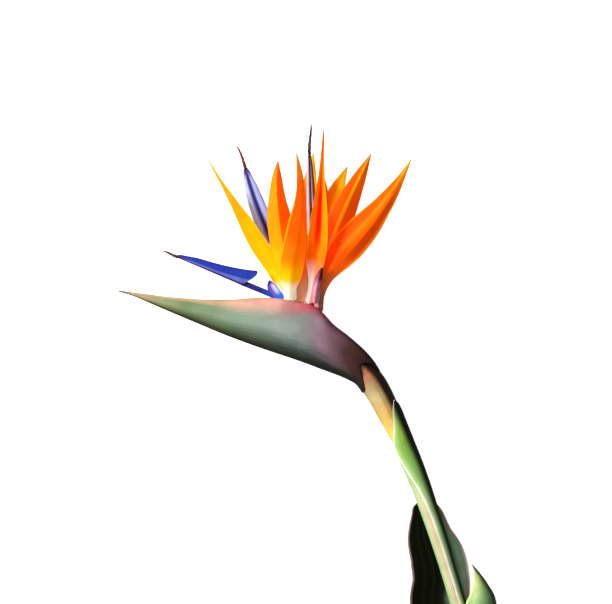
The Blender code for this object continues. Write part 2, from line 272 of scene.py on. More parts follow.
def make_mottle():
    """Soft uneven patches of colour in living tissue, read from its own place."""
    tree, b, i, o, _ = group(
        "living_mottle",
        [("Colour", COLOUR, (1, 1, 1, 1)), ("Other", COLOUR, (0, 0, 0, 1)),
         ("Amount", FLOAT, 0.3), ("Size", FLOAT, 60.0), ("Lift", FLOAT, 0.12)],
        [("Colour", COLOUR), ("Rough", FLOAT)])
    where = b.own_place()
    broad = b.cloud(where, i["Size"], 4.0)
    patch = b.ramp01(broad, 0.42, 0.66)
    tint = b.mix(b.mul(patch, i["Amount"]), i["Colour"], i["Other"])
    fine = b.cloud(where, b.mul(i["Size"], 9.0))
    value = b.math("MULTIPLY_ADD", b.sub(fine, 0.5), i["Lift"], 1.0)
    hue = b.new("ShaderNodeHueSaturation")
    b.put(hue.inputs["Color"], tint)
    b.put(hue.inputs["Value"], value)
    b.put(o["Colour"], hue.outputs["Color"])
    b.put(o["Rough"], b.mul(b.sub(broad, 0.5), 0.25))
    return tree


def make_margin():
    """Masks for the two thin margins and the midrib of a blade, from its across value."""
    tree, b, i, o, _ = group("blade_lines", [("Across", FLOAT, 0.5), ("Margin", FLOAT, 0.05),
                                             ("Rib", FLOAT, 0.03)],
                             [("Left", FLOAT), ("Right", FLOAT), ("Rib", FLOAT), ("Side", FLOAT)])
    off = b.math("ABSOLUTE", b.sub(i["Across"], 0.5))
    for label, away, size, start in (("Left", i["Across"], "Margin", 0.35),
                                     ("Right", b.sub(1.0, i["Across"]), "Margin", 0.35),
                                     ("Rib", off, "Rib", 0.3)):
        b.put(o[label], b.fade(away, b.mul(i[size], start), i[size]))
    b.put(o["Side"], b.ramp01(i["Across"], 0.47, 0.53))
    return tree


VEINS, MOTTLE, LINES = make_veins(), make_mottle(), make_margin()


class Tissue:
    """One plant-tissue material: reads the piece's UV map, x across and y along."""

    def __init__(self, name, rough, coat=0.0, specular=0.5, glow=0.0, painted_glow=0.0):
        self.mat = bpy.data.materials.new(name)
        self.mat.use_nodes = True
        self.b = Bench(self.mat.node_tree)
        self.shader = self.mat.node_tree.nodes["Principled BSDF"]
        # painted glow: emission in the tissue's own colour makes thin tissue glow as if lit
        # through from its back
        values = {"Roughness": rough, "Coat Weight": coat, "Coat Roughness": 0.25,
                  "Specular IOR Level": specular, "Emission Strength": painted_glow}
        if glow:
            values.update({"Subsurface Weight": glow, "Subsurface Scale": 1.0,
                           "Subsurface Radius": (0.004, 0.0016, 0.0005)})
        for socket, value in values.items():
            self.shader.inputs[socket].default_value = value
        self.has_painted_glow = painted_glow > 0
        self.rough = rough
        uv = self.b.new("ShaderNodeUVMap", uv_map="UVMap")
        self.x, self.y, _ = self.b.split(uv.outputs[0])

    def use(self, tree, **values):
        node = self.b.new("ShaderNodeGroup", node_tree=tree)
        for name, value in values.items():
            self.b.put(node.inputs[name], value)
        return node.outputs

    def veins(self, count, wander, fleck, stretch=None):
        """Veins along the piece; a stretch above 1 makes their flecks shorter."""
        along = self.b.mul(self.y, stretch) if stretch else self.y
        return self.use(VEINS, Across=self.x, Along=along, Count=count, Wander=wander,
                        Fleck=fleck)

    def finish(self, colour, height, bump, reach, patchy=None):
        """Wire the colour, the surface relief and the uneven shine."""
        b = self.b
        b.put(self.shader.inputs["Base Color"], colour)
        # painted glow: the surface colour also shines as emission
        if self.has_painted_glow:
            b.put(self.shader.inputs["Emission Color"], colour)
        b.put(self.shader.inputs["Normal"], b.step(
            "ShaderNodeBump", Strength=bump, Distance=reach, Height=height))
        if patchy is not None:
            b.put(self.shader.inputs["Roughness"], b.math("ADD", patchy, self.rough, clip=True))
        return self.mat

    def living(self, tint, other, amount, size, lift, height, bump, reach):
        """Finish with the soft patches and uneven shine of living tissue."""
        mot = self.use(MOTTLE, Colour=tint, Amount=amount, Size=size, Lift=lift,
                       Other=self.b.toned(tint, other))
        return self.finish(mot["Colour"], height, bump, reach, mot["Rough"])


def sepal_tissue(name, left, right, rib, margin, foot, throat, other=(255, 150, 60),
                 foot_right_shade=None, foot_end=0.15, edge=0.06, ribwide=0.05, shade=None):
    """Keeled petal: two flanks of their own colour with painted light and shade, the flank towards
    the lamp lighter and the other darker; a rib colour that holds a painted keel highlight and, in
    a channel, painted shade; margins, a claw with painted shade on its right, and an optional
    painted shade band.
    """
    t = Tissue(name, rough=0.60, specular=0.04, glow=0.10, painted_glow=0.24)
    b = t.b
    line = t.use(LINES, Across=t.x, Margin=edge, Rib=ribwide)
    # flank colours: partly their own colour, partly painted light and shade, the flank towards the
    # lamp lighter and the one turned away darker
    flank = b.mix(line["Side"], b.tints(t.y, left), b.tints(t.y, right))
    vein = t.veins(15.0, 0.3, 0.30)
    # painted shade: an optional darker band along the flank that turns away from the lamp
    if shade:
        colour, centre, half, soft = shade
        place_x = b.add(t.x, b.mul(vein["Fleck"], 0.12))
        dark = b.mul(b.band(place_x, centre, half, soft),
                     b.mul(b.ramp01(t.y, 0.26, 0.42), b.fade(t.y, 0.70, 0.92)))
        flank = b.mix(dark, flank, rgb(colour))
    # rib colour: a paler rib with a painted keel highlight; where the rib lies in a channel its
    # darker colour is painted shade
    tint = b.mix(b.mul(line["Rib"], b.ramp01(t.y, 0.12, 0.34)), flank, b.tints(t.y, rib))
    rim = b.math("MAXIMUM", line["Left"], line["Right"])
    tint = b.mix(b.mul(rim, 0.85), tint, rgb(margin))
    tint = b.mix(b.mul(vein["Line"], 0.16), tint, b.toned(tint, other))
    ragged = b.add(t.y, b.mul(vein["Fleck"], 0.16))
    tint = b.mix(b.fade(ragged, foot_end, foot_end + 0.11), tint, rgb(throat))
    claw = rgb(foot)
    # painted shade on the right side of the claw
    if foot_right_shade:
        claw = b.mix(b.ramp01(t.x, 0.40, 0.62), claw, rgb(foot_right_shade))
    tint = b.mix(b.fade(ragged, foot_end * 0.5, foot_end), tint, claw)
    tint = b.mix(b.ramp01(ragged, 0.978, 0.996), tint, rgb((150, 96, 40)))
    return t.living(tint, (255, 205, 150), 0.4, 70.0, 0.10, vein["Height"], 0.25, 0.00030)


# ======================================================================================
# Keeled blades: one node tree shapes all sepals and the small hood petals
# ======================================================================================
SHAPES = {
    "blade": ((0.0, 0.30), (0.1, 0.33), (0.2, 0.40), (0.28, 0.50), (0.38, 0.72),
              (0.48, 0.95), (0.58, 1.0), (0.7, 0.86), (0.8, 0.66), (0.88, 0.45),
              (0.95, 0.21), (1.0, 0.035)),
    "low_broad": ((0.0, 0.36), (0.075, 0.45), (0.13, 0.63), (0.2, 0.88), (0.31, 1.0),
                  (0.42, 0.95), (0.55, 0.85), (0.62, 0.73), (0.69, 0.59), (0.77, 0.45),
                  (0.86, 0.34), (0.92, 0.24), (1.0, 0.035)),
    "mid_broad": ((0.0, 0.34), (0.1, 0.45), (0.2, 0.65), (0.3, 0.85), (0.4, 0.98),
                  (0.5, 1.0), (0.63, 0.95), (0.73, 0.74), (0.8, 0.6), (0.887, 0.42),
                  (0.943, 0.24), (1.0, 0.035)),
    "spire": ((0.0, 0.3), (0.1, 0.3), (0.18, 0.4), (0.25, 0.62), (0.31, 0.86),
              (0.38, 0.97), (0.44, 1.0), (0.54, 0.95), (0.675, 0.7), (0.77, 0.42),
              (0.86, 0.25), (0.94, 0.15), (1.0, 0.035)),
    "sail": ((0.0, 0.25), (0.1, 0.28), (0.2, 0.38), (0.25, 0.48), (0.30, 0.62),
             (0.34, 0.74), (0.40, 0.88), (0.5, 1.0), (0.58, 0.97), (0.663, 0.86),
             (0.732, 0.71), (0.824, 0.50), (0.87, 0.38), (0.911, 0.26), (1.0, 0.035)),
}
SHAPES["wide_foot"] = ((0.0, 0.50), (0.1, 0.50), (0.2, 0.46)) + SHAPES["blade"][3:]
HOOD_SHAPE = ((0.0, 0.5), (0.3, 0.95), (0.55, 1.0), (0.8, 0.7), (1.0, 0.1))


LINE_ENDS = (("Foot", "Start"), ("Foot Pull", "Start Handle"), ("Tip Pull", "End Handle"),
             ("Tip", "End"))


def shape_group(name, ins, on_line=True):
    """Empty geometry group; its shape may follow a four-point line."""
    line = [(label, VECTOR, None) for label, _ in LINE_ENDS] if on_line else []
    return group(name, line + ins + [("Tissue", MAT, None)], [("Geometry", "NodeSocketGeometry")],
                 "GeometryNodeTree")


def four_point_line(b, i):
    line = b.new("GeometryNodeCurvePrimitiveBezierSegment")
    for label, end in LINE_ENDS:
        b.put(line.inputs[end], i[label])
    return line


def line_values(points):
    """Inputs that lay a shape along four points."""
    return {label: place(p) for (label, _), p in zip(LINE_ENDS, points)}


def face_and_side(b, along):
    """Directions that face up and to the right of a line that runs along."""
    level = b.scaled(along, b.vec("DOT_PRODUCT", along, UP))
    face = b.vec("NORMALIZE", b.vec("SUBTRACT", UP, level))
    return face, b.vec("CROSS_PRODUCT", along, face)


def with_map(b, shape, across, along):
    """Store the piece's UV map on its corners."""
    return b.step("GeometryNodeStoreNamedAttribute",
                  facts={"data_type": "FLOAT2", "domain": "CORNER"}, Geometry=shape,
                  Name="UVMap", Value=b.xyz(across, along))


def end_tree(b, shape, i, o):
    """Close a tree: smooth shading, real geometry and the piece's own material."""
    soft = b.step("GeometryNodeSetShadeSmooth", Geometry=shape)
    real = b.step("GeometryNodeRealizeInstances", Geometry=soft)
    b.put(o["Geometry"], b.step("GeometryNodeSetMaterial", Geometry=real, Material=i["Tissue"]))


def make_blade_tree(name, shape):
    """Blade along a four-point spine: a grid rolled into a thin lens and laid on it."""
    tree, b, i, o, ids = shape_group(name, [
        ("Width", FLOAT, 0.018), ("Rib", FLOAT, 0.0017), ("Edge", FLOAT, 0.00055),
        ("Fold Foot", FLOAT, 0.2), ("Fold Tip", FLOAT, 0.3), ("Roll Foot", FLOAT, 0.0),
        ("Roll Tip", FLOAT, 0.0), ("Ripple", FLOAT, 0.0004), ("Relief", FLOAT, 0.00003),
        ("Crease", FLOAT, 0.03), ("Around", INT, 72), ("Lengthwise", INT, 120),
        ("Seed", FLOAT, 0.0)])
    spine = four_point_line(b, i)
    spine.inputs["Resolution"].default_value = SPINE_STEPS
    beads = b.step("GeometryNodeCurveToPoints", "Points", {"mode": "EVALUATED"},
                   Curve=spine.outputs[0])
    thread = b.step("GeometryNodePointsToCurves", Points=beads)
    grid = b.step("GeometryNodeMeshGrid", "Mesh", Size_X=1.0, Size_Y=1.0,
                  Vertices_X=b.add(i["Around"], 1.0), Vertices_Y=b.add(i["Lengthwise"], 1.0))
    x, y, _ = b.split(b.new("GeometryNodeInputPosition").outputs[0])
    angle = b.mul(b.add(x, 0.5), 2 * math.pi)
    v = b.add(y, 0.5)
    u = b.math("COSINE", angle)
    s = b.math("SINE", angle)
    mapped = with_map(b, grid, b.math("MULTIPLY_ADD", u, 0.5, 0.5), v)

    # place along the spine, counted the way the spine's own points are spaced
    share = b.math("DIVIDE", b.new("GeometryNodeInputIndex").outputs[0], SPINE_STEPS)
    look = b.new("GeometryNodeSampleCurve", mode="FACTOR", use_all_curves=True)
    b.put(look.inputs["Curves"], thread)
    b.put(look.inputs["Value"], share)
    b.put(look.inputs["Factor"], v)
    t = look.outputs["Value"]
    point, along = look.outputs["Position"], look.outputs["Tangent"]

    curve = b.new("ShaderNodeFloatCurve")
    outline = curve.mapping.curves[0].points
    while len(outline) < len(shape):
        outline.new(0.5, 0.5)
    for point_on, spot in zip(outline, shape):
        point_on.location = spot
    curve.mapping.update()
    b.put(curve.inputs["Value"], t)
    half = b.mul(b.mul(curve.outputs[0], i["Width"]), 0.5)
    ends = b.mul(b.ramp01(v, 0.0, 0.006), b.ramp01(b.sub(1.0, v), 0.0, 0.006))
    half = b.mul(half, ends)

    def blend(a, c):
        return b.add(a, b.mul(b.sub(c, a), t))

    fold, roll = blend(i["Fold Foot"], i["Fold Tip"]), blend(i["Roll Foot"], i["Roll Tip"])
    off = b.sub(b.math("POWER", b.add(b.mul(u, u), b.mul(i["Crease"], i["Crease"])), 0.5),
                i["Crease"])
    off = b.math("MAXIMUM", off, 0.0)      # how far from the crease of the rib
    thick = b.math("MINIMUM", i["Rib"], b.math("MULTIPLY_ADD", half, 0.5, 0.0003))
    rim = b.math("MINIMUM", i["Edge"], b.mul(thick, 0.6))
    inward = b.sub(1.0, b.math("MINIMUM", b.math("ABSOLUTE", u), 1.0))
    body = b.add(rim, b.mul(b.sub(thick, rim), b.math("POWER", inward, 0.6)))
    body = b.mul(body, ends)
    rounded = b.mul(b.math("SIGN", s), b.math("POWER", b.math("ABSOLUTE", s), 0.5))
    veins = b.mul(b.math("SINE", b.mul(u, 38.0)), i["Relief"])
    lift = b.mul(rounded, b.math("MULTIPLY_ADD", body, 0.5, veins))
    drop = b.mul(b.math("POWER", off, 1.18), b.mul(half, b.math("SINE", fold)))
    wave = b.cloud(b.xyz(b.mul(u, 1.3), b.mul(v, 5.0), i["Seed"]), detail=1.0)
    sway = b.mul(b.sub(wave, 0.5), b.mul(i["Ripple"], b.mul(b.mul(u, u), ends)))
    raised = b.add(b.sub(lift, drop), sway)

    face, side = face_and_side(b, along)
    c, q = b.math("COSINE", roll), b.math("SINE", roll)
    side2 = b.vec("SUBTRACT", b.scaled(side, c), b.scaled(face, q))
    face2 = b.vec("ADD", b.scaled(face, c), b.scaled(side, q))
    wide = b.mul(b.mul(u, half), b.math("COSINE", fold))
    spread = b.vec("ADD", b.scaled(side2, wide), b.scaled(face2, raised))
    laid = b.step("GeometryNodeSetPosition", Geometry=mapped,
                  Position=b.vec("ADD", point, spread))
    end_tree(b, b.step("GeometryNodeMergeByDistance", Geometry=laid, Distance=1e-7), i, o)
    return tree, ids


def grow(name, tree, ids, values):
    """Run a geometry tree on an empty mesh and keep the result as a plain mesh."""
    carrier = bpy.data.objects.new(name + "_seed", bpy.data.meshes.new(name + "_seed"))
    bpy.context.scene.collection.objects.link(carrier)
    mod = carrier.modifiers.new("grow", "NODES")
    mod.node_group = tree
    for label, value in values.items():
        mod[ids[label]] = value
    graph = bpy.context.evaluated_depsgraph_get()
    mesh = bpy.data.meshes.new_from_object(carrier.evaluated_get(graph))
    bpy.data.objects.remove(carrier, do_unlink=True)
    return settled(name, mesh)


def settled(name, mesh):
    """Linked piece with every face turned to the outside of its closed skin."""
    mesh.name = name
    bm = bmesh.new()
    bm.from_mesh(mesh)
    bmesh.ops.recalc_face_normals(bm, faces=bm.faces[:])
    if bm.calc_volume(signed=True) < 0:
        bmesh.ops.reverse_faces(bm, faces=bm.faces[:])
    bm.to_mesh(mesh)
    bm.free()
    obj = bpy.data.objects.new(name, mesh)
    bpy.context.scene.collection.objects.link(obj)
    return obj


def from_bmesh(name, bm, mats):
    mesh = bpy.data.meshes.new(name)
    bm.to_mesh(mesh)
    bm.free()
    for mat in mats:
        mesh.materials.append(mat)
    return settled(name, mesh)


def keep(obj, node):
    """Finished piece: stands for its solid, which is hidden, and hangs from the root body."""
    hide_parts(node)
    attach(obj, "root")


BLADES = {key: make_blade_tree(key + "_petal", rows) for key, rows in SHAPES.items()}
HOODS, HOOD_IDS = make_blade_tree("hood_petal", HOOD_SHAPE)

# shape, spine, width, fold at foot and tip, roll at foot and tip, colours
# flank colours hold painted light and shade: the flank towards the lamp on the left lighter, the
# flank turned away darker; b2's dark rib is painted shade in its channel, and the right of b2's
# and c3's claw is painted shade
SEPALS = {
    "sepal_a1": (
        "blade", ((-9.5, 2.2, 11.8), (-16.0, 18, 9.6), (-39.0, 54, 8.6), (-60.2, 91.8, 10.0)),
        18.0, (6, 4), (-14, -88), dict(
            left=((0, 184), (0.35, 160), (0.7, 150), (1, 150)),
            right=((0, 184), (0.35, 162), (0.7, 156), (1, 156)), rib=((0, 168), (1, 150)),
            margin=168, foot=(250, 238, 205), throat=190, other=(255, 210, 120))),
    "sepal_a2": (
        "mid_broad",
        ((-6.9, 1.6, 14.4), (-9.0, 24, 18.6), (-20.0, 58, 27.0), (-15.6, 90.2, 18.0)), 17.0,
        (14, 24), (-6, -8), dict(
            left=((0, 190), (0.33, 160), (0.55, 141), (0.8, 132), (1, 120)),
            right=((0, 190), (0.30, 160), (0.42, 112), (0.6, 84), (0.9, 88), (1, 110)),
            rib=((0, 180), (0.6, 150), (1, 130)), margin=134, foot=(252, 244, 224), throat=190,
            foot_end=0.17, edge=0.04)),
    "sepal_a3": (
        "low_broad", ((-8.6, 1.0, 16.9), (-10.5, 26, 24.0), (6.0, 60, 34.0), (-4.0, 93.8, 35.0)),
        16.5, (14, 30), (-6, 46), dict(
            left=((0, 190), (0.18, 152), (0.3, 116), (0.45, 88), (0.8, 80), (1, 120)),
            right=((0, 200), (0.18, 170), (0.32, 140), (0.6, 118), (0.8, 126), (1, 160)),
            rib=((0, 160), (0.3, 112), (1, 110)), margin=160, foot=(250, 236, 204), throat=176,
            foot_end=0.16, edge=0.08)),
    "sepal_b1": (
        "wide_foot", ((-0.9, 0.6, 12.8), (-0.6, 20, 8.8), (0.5, 56, 11.5), (6.6, 95.4, 9.5)),
        17.0, (3, 16), (-8, -18), dict(
            left=((0, (235, 120, 40)), (0.3, (245, 110, 10)), (0.7, 90), (0.85, 160), (1, 190)),
            right=((0, (235, 120, 40)), (0.3, (240, 100, 10)), (0.7, 140), (0.85, 180), (1, 190)),
            rib=((0, (240, 120, 20)), (1, 150)), margin=(255, 150, 10), foot=(206, 140, 104),
            throat=(230, 112, 50), foot_end=0.22)),
    "sepal_b2": (
        "spire", ((3.4, 0.2, 16.9), (9.5, 26, 20.0), (10.4, 58, 28.0), (13.1, 111.2, 40.0)), 17.0,
        (-34, -56), (0, 0), dict(
            left=((0, 120), (0.25, 96), (0.36, 130), (0.58, 140), (0.72, 150), (1, 170)),
            right=((0, (236, 110, 20)), (0.25, 104), (0.45, 132), (0.75, 124), (1, 104)),
            rib=((0, 120), (0.3, 76), (0.42, 40), (0.62, 44), (0.8, 110), (1, 120)), margin=170,
            foot=(252, 250, 246), throat=108, foot_right_shade=(206, 112, 84), foot_end=0.27,
            ribwide=0.26, edge=0.07)),
    "sepal_b3": (
        "blade", ((3.2, -0.2, 9.4), (5.5, 22, 7.4), (13.5, 52, 9.2), (11.6, 86.4, 7.5)), 15.0,
        (10, 16), (-30, -42), dict(
            left=((0, 130), (0.5, 90), (1, 90)), right=((0, 120), (0.5, 78), (1, 80)),
            rib=((0, 120), (1, 110)), margin=110, foot=(236, 190, 170), throat=(255, 120, 20))),
    "sepal_c1": (
        "blade", ((7.6, -2.0, 9.6), (9.0, 24, 4.4), (12.6, 58, 4.0), (28.2, 87.2, 4.0)), 17.5,
        (8, 14), (-6, -12), dict(
            left=((0, (230, 100, 20)), (0.4, 84), (0.6, 110), (1, 140)),
            right=((0, (230, 90, 10)), (0.4, 84), (0.6, 150), (0.8, 190), (1, (255, 200, 40))),
            rib=((0, 110), (1, 150)), margin=(255, 216, 100), foot=(200, 120, 130),
            throat=(226, 92, 20), edge=0.10)),
    "sepal_c2": (
        "blade", ((10.2, -4.6, 13.0), (9.8, 30, 17.0), (27.0, 62, 18.0), (42.8, 94.6, 18.0)),
        17.5, (16, 30), (-8, 0), dict(
            left=((0, (210, 90, 60)), (0.2, 44), (0.35, 56), (0.6, 84), (0.9, 96), (1, 130)),
            right=((0, (210, 80, 60)), (0.2, 40), (0.4, 70), (0.7, 88), (1, 110)),
            rib=((0, 50), (0.36, 84), (0.5, 150), (0.9, 180), (1, (255, 180, 20))),
            margin=(255, 130, 10), foot=(200, 112, 130), throat=(226, 70, 20), ribwide=0.12,
            edge=0.04)),
    "sepal_c3": (
        "sail", ((9.6, -6.0, 16.2), (8.2, 31, 23.0), (43.0, 41.5, 28.0), (67.4, 90.4, 28.0)),
        22.0, (14, 26), (-6, -10), dict(
            left=((0, (190, 104, 100)), (0.2, (196, 84, 16)), (0.3, (250, 76, 0)), (0.6, 78),
                  (0.85, 96), (1, (255, 150, 10))),
            right=((0, (130, 70, 60)), (0.2, (176, 80, 10)), (0.34, (240, 90, 0)), (0.6, 104),
                   (0.85, 112), (1, (255, 160, 20))),
            rib=((0, (190, 90, 20)), (0.36, 84), (0.5, 112), (0.8, 124), (1, (255, 180, 30))),
            margin=150, foot=(206, 124, 136), throat=(186, 84, 30), foot_right_shade=(120, 76, 56),
            foot_end=0.17, ribwide=0.20, edge=0.07, shade=((196, 62, 0), 0.80, 0.07, 0.09))),
}

for k, (name, (form, spine, width, fold, roll, look)) in enumerate(SEPALS.items()):
    tissue = sepal_tissue(name + "_skin", **look)
    piece = grow(name + "_petal", *BLADES[form], {
        **line_values(spine), "Width": width * MM, "Fold Foot": math.radians(fold[0]),
        "Fold Tip": math.radians(fold[1]), "Roll Foot": math.radians(roll[0]),
        "Roll Tip": math.radians(roll[1]), "Seed": 3.7 * k, "Ripple": 0.0016,
        "Tissue": tissue})
    keep(piece, name)


# ======================================================================================
# Skins lofted ring by ring
# ======================================================================================
def skin(name, rings, mat):
    """Closed skin over rings of points with a UV map; the ends close on a pole."""
    bm = bmesh.new()
    uv = bm.loops.layers.uv.new("UVMap")
    rows = [[bm.verts.new(place(p)) for p in ring] for ring in rings]
    n, m = len(rings[0]), len(rings) - 1
    for i in range(m):
        for j in range(n):
            k = (j + 1) % n
            f = bm.faces.new((rows[i][j], rows[i][k], rows[i + 1][k], rows[i + 1][j]))
            f.smooth = True
            spots = ((i, j), (i, j + 1), (i + 1, j + 1), (i + 1, j))
            for loop, (a, c) in zip(f.loops, spots):
                loop[uv].uv = (c / n, a / m)
    for row, ring, v in ((rows[0], rings[0], 0.0), (rows[-1], rings[-1], 1.0)):
        hub = bm.verts.new(place(sum((Vector(p) for p in ring), Vector()) / n))
        for j in range(n):
            f = bm.faces.new((row[j], row[(j + 1) % n], hub))
            f.smooth = True
            for loop, x in zip(f.loops, (j / n, (j + 1) / n, (j + 0.5) / n)):
                loop[uv].uv = (x, v)
    return from_bmesh(name, bm, [mat])


def sheet(name, outer, inner, mats, turned=None):
    """Thick open leaf between two grids, its margins rounded; the inside is slot 1."""
    bm = bmesh.new()
    uv = bm.loops.layers.uv.new("UVMap")
    flank = bm.verts.layers.float.new("Flank")
    m, n = len(outer) - 1, len(outer[0]) - 1
    grids = [[[bm.verts.new(place(p)) for p in row] for row in g] for g in (outer, inner)]
    if turned:
        for g in grids:
            for row, values in zip(g, turned):
                for vert, value in zip(row, values):
                    vert[flank] = value

    def face(verts, spots, slot):
        f = bm.faces.new(verts)
        f.smooth, f.material_index = True, slot
        for loop, (a, c) in zip(f.loops, spots):
            loop[uv].uv = (c / n, a / m)

    for i in range(m):
        for j in range(n):
            spots = ((i, j), (i, j + 1), (i + 1, j + 1), (i + 1, j))
            for slot, g in enumerate(grids):
                face([g[a][c] for a, c in spots], spots, slot)

    def wrap(path):
        """Rounded strip that joins the two grids along their shared border."""
        def bulge(k):
            a, c = path[k]
            p, q = grids[0][a][c].co, grids[1][a][c].co
            inside = (min(max(a, 1), m - 1), min(max(c, 1), n - 1))
            away = p - grids[0][inside[0]][inside[1]].co
            away = away.normalized() if away.length > 1e-9 else Vector()
            mid = bm.verts.new((p + q) / 2 + away * (p - q).length * 0.45)
            mid[flank] = grids[0][a][c][flank]
            return mid
        mids = [bulge(k) for k in range(len(path))]
        for k in range(len(path)):
            a, c = path[k], path[(k + 1) % len(path)]
            m0, m1 = mids[k], mids[(k + 1) % len(path)]
            face([grids[0][a[0]][a[1]], grids[0][c[0]][c[1]], m1, m0], [a, c, c, a], 0)
            face([m0, m1, grids[1][c[0]][c[1]], grids[1][a[0]][a[1]]], [a, c, c, a], 1)

    border = ([(0, j) for j in range(n)] + [(i, n) for i in range(m)]
              + [(m, j) for j in range(n, 0, -1)] + [(i, 0) for i in range(m, 0, -1)])
    wrap(border)
    return from_bmesh(name, bm, mats)


# --- spathe ---------------------------------------------------------------------------
SLIT_HALF = 6.7
BOAT_WALL, BOAT_FLOOR = 1.1, 2.6      # how thick the side and the keel are
# keel x, y, rim x, y, half width, half opening
HULL = (
    (-116.5, 7.9, -116.3, 8.7, 0.45, 0.25), (-107.0, 5.0, -107.0, 7.4, 1.2, 0.5),
    (-98.0, 1.2, -97.5, 6.2, 2.4, 1.0), (-85.0, -4.4, -83.0, 4.4, 4.4, 1.4),
    (-67.0, -12.0, -64.0, 3.0, 7.4, 1.5), (-49.0, -19.5, -46.0, 2.8, 10.3, 1.6),
    (-33.0, -25.5, -30.0, 3.9, 12.3, 1.9), (-20.0, -30.0, -18.0, 3.9, 13.2, 4.4),
    (-11.0, -33.0, -11.5, 3.0, 13.4, SLIT_HALF), (-3.0, -35.7, -3.0, 1.3, 13.4, SLIT_HALF),
    (5.0, -38.6, 5.0, -0.5, 13.4, SLIT_HALF), (12.0, -41.3, 12.5, -5.5, 13.0, 6.2),
    (19.0, -43.8, 19.5, -13.0, 12.1, 3.4), (25.0, -46.2, 28.4, -19.8, 10.9, 1.9),
    (30.0, -48.6, 38.4, -28.6, 9.8, 1.5), (33.6, -51.0, 44.5, -35.5, 9.6, 1.4),
    (37.2, -56.0, 48.6, -41.9, 9.3, 1.4),
)
# how far down the stem the near wall reaches, from its keel (0) up to its rim (1)
COLLAR = ((0.0, 1.0), (0.1, 1.0), (0.19, 0.98), (0.4, 0.91), (0.5, 0.888), (0.63, 0.890),
          (0.77, 0.9125), (0.9, 0.948), (1.0, 1.0))


def hull_grids(steps=120, side_steps=26):
    """Outer and inner surfaces of the boat from one rim round the keel to the other;
    on the near side the collar is drawn back so that the stem shows as it leaves."""
    outer, inner = [], []
    for i in range(steps + 1):
        row_o, row_i = [], []
        for j in range(-side_steps, side_steps + 1):
            theta = math.pi * abs(j) / side_steps
            s = -1 if j < 0 else 1
            h = (1 - math.cos(theta)) / 2
            t = i / steps * (table(COLLAR, h) if s > 0 else 1.0)
            kx, ky, rx, ry, half, slit = chain(HULL, t)
            keel, rim = Vector((kx, ky, MID)), Vector((rx, ry, MID))
            tall = (rim - keel).length
            half, slit = max(half, 0.2), max(slit, 0.1)
            half *= 1 - 0.10 * smooth(t, 0.84, 0.96)
            wall = min(BOAT_WALL, 0.45 * half) * (1 - 0.5 * smooth(i / steps, 0.95, 1.0))
            floor = min(BOAT_FLOOR * clamp((tall - 12) / 20, 0.42) / tall, 0.45)
            w = half * max(0.0, math.sin(theta)) ** 0.85 * (1 - 0.25 * h) + slit * h ** 5
            w_in = w - min(wall, 0.55 * w)
            h_in = floor + (1 - floor) * h
            grain = noise.noise(Vector((t * 9, h * 14 * s, 3.0))) * 0.08 * smooth(half, 1, 6)
            row_o.append(keel.lerp(rim, h) + Vector((0, 0, s * (w + grain * (w > 1)))))
            row_i.append(keel.lerp(rim, h_in) + Vector((0, 0, s * w_in)))
        outer.append(row_o)
        inner.append(row_i)
    return outer, inner


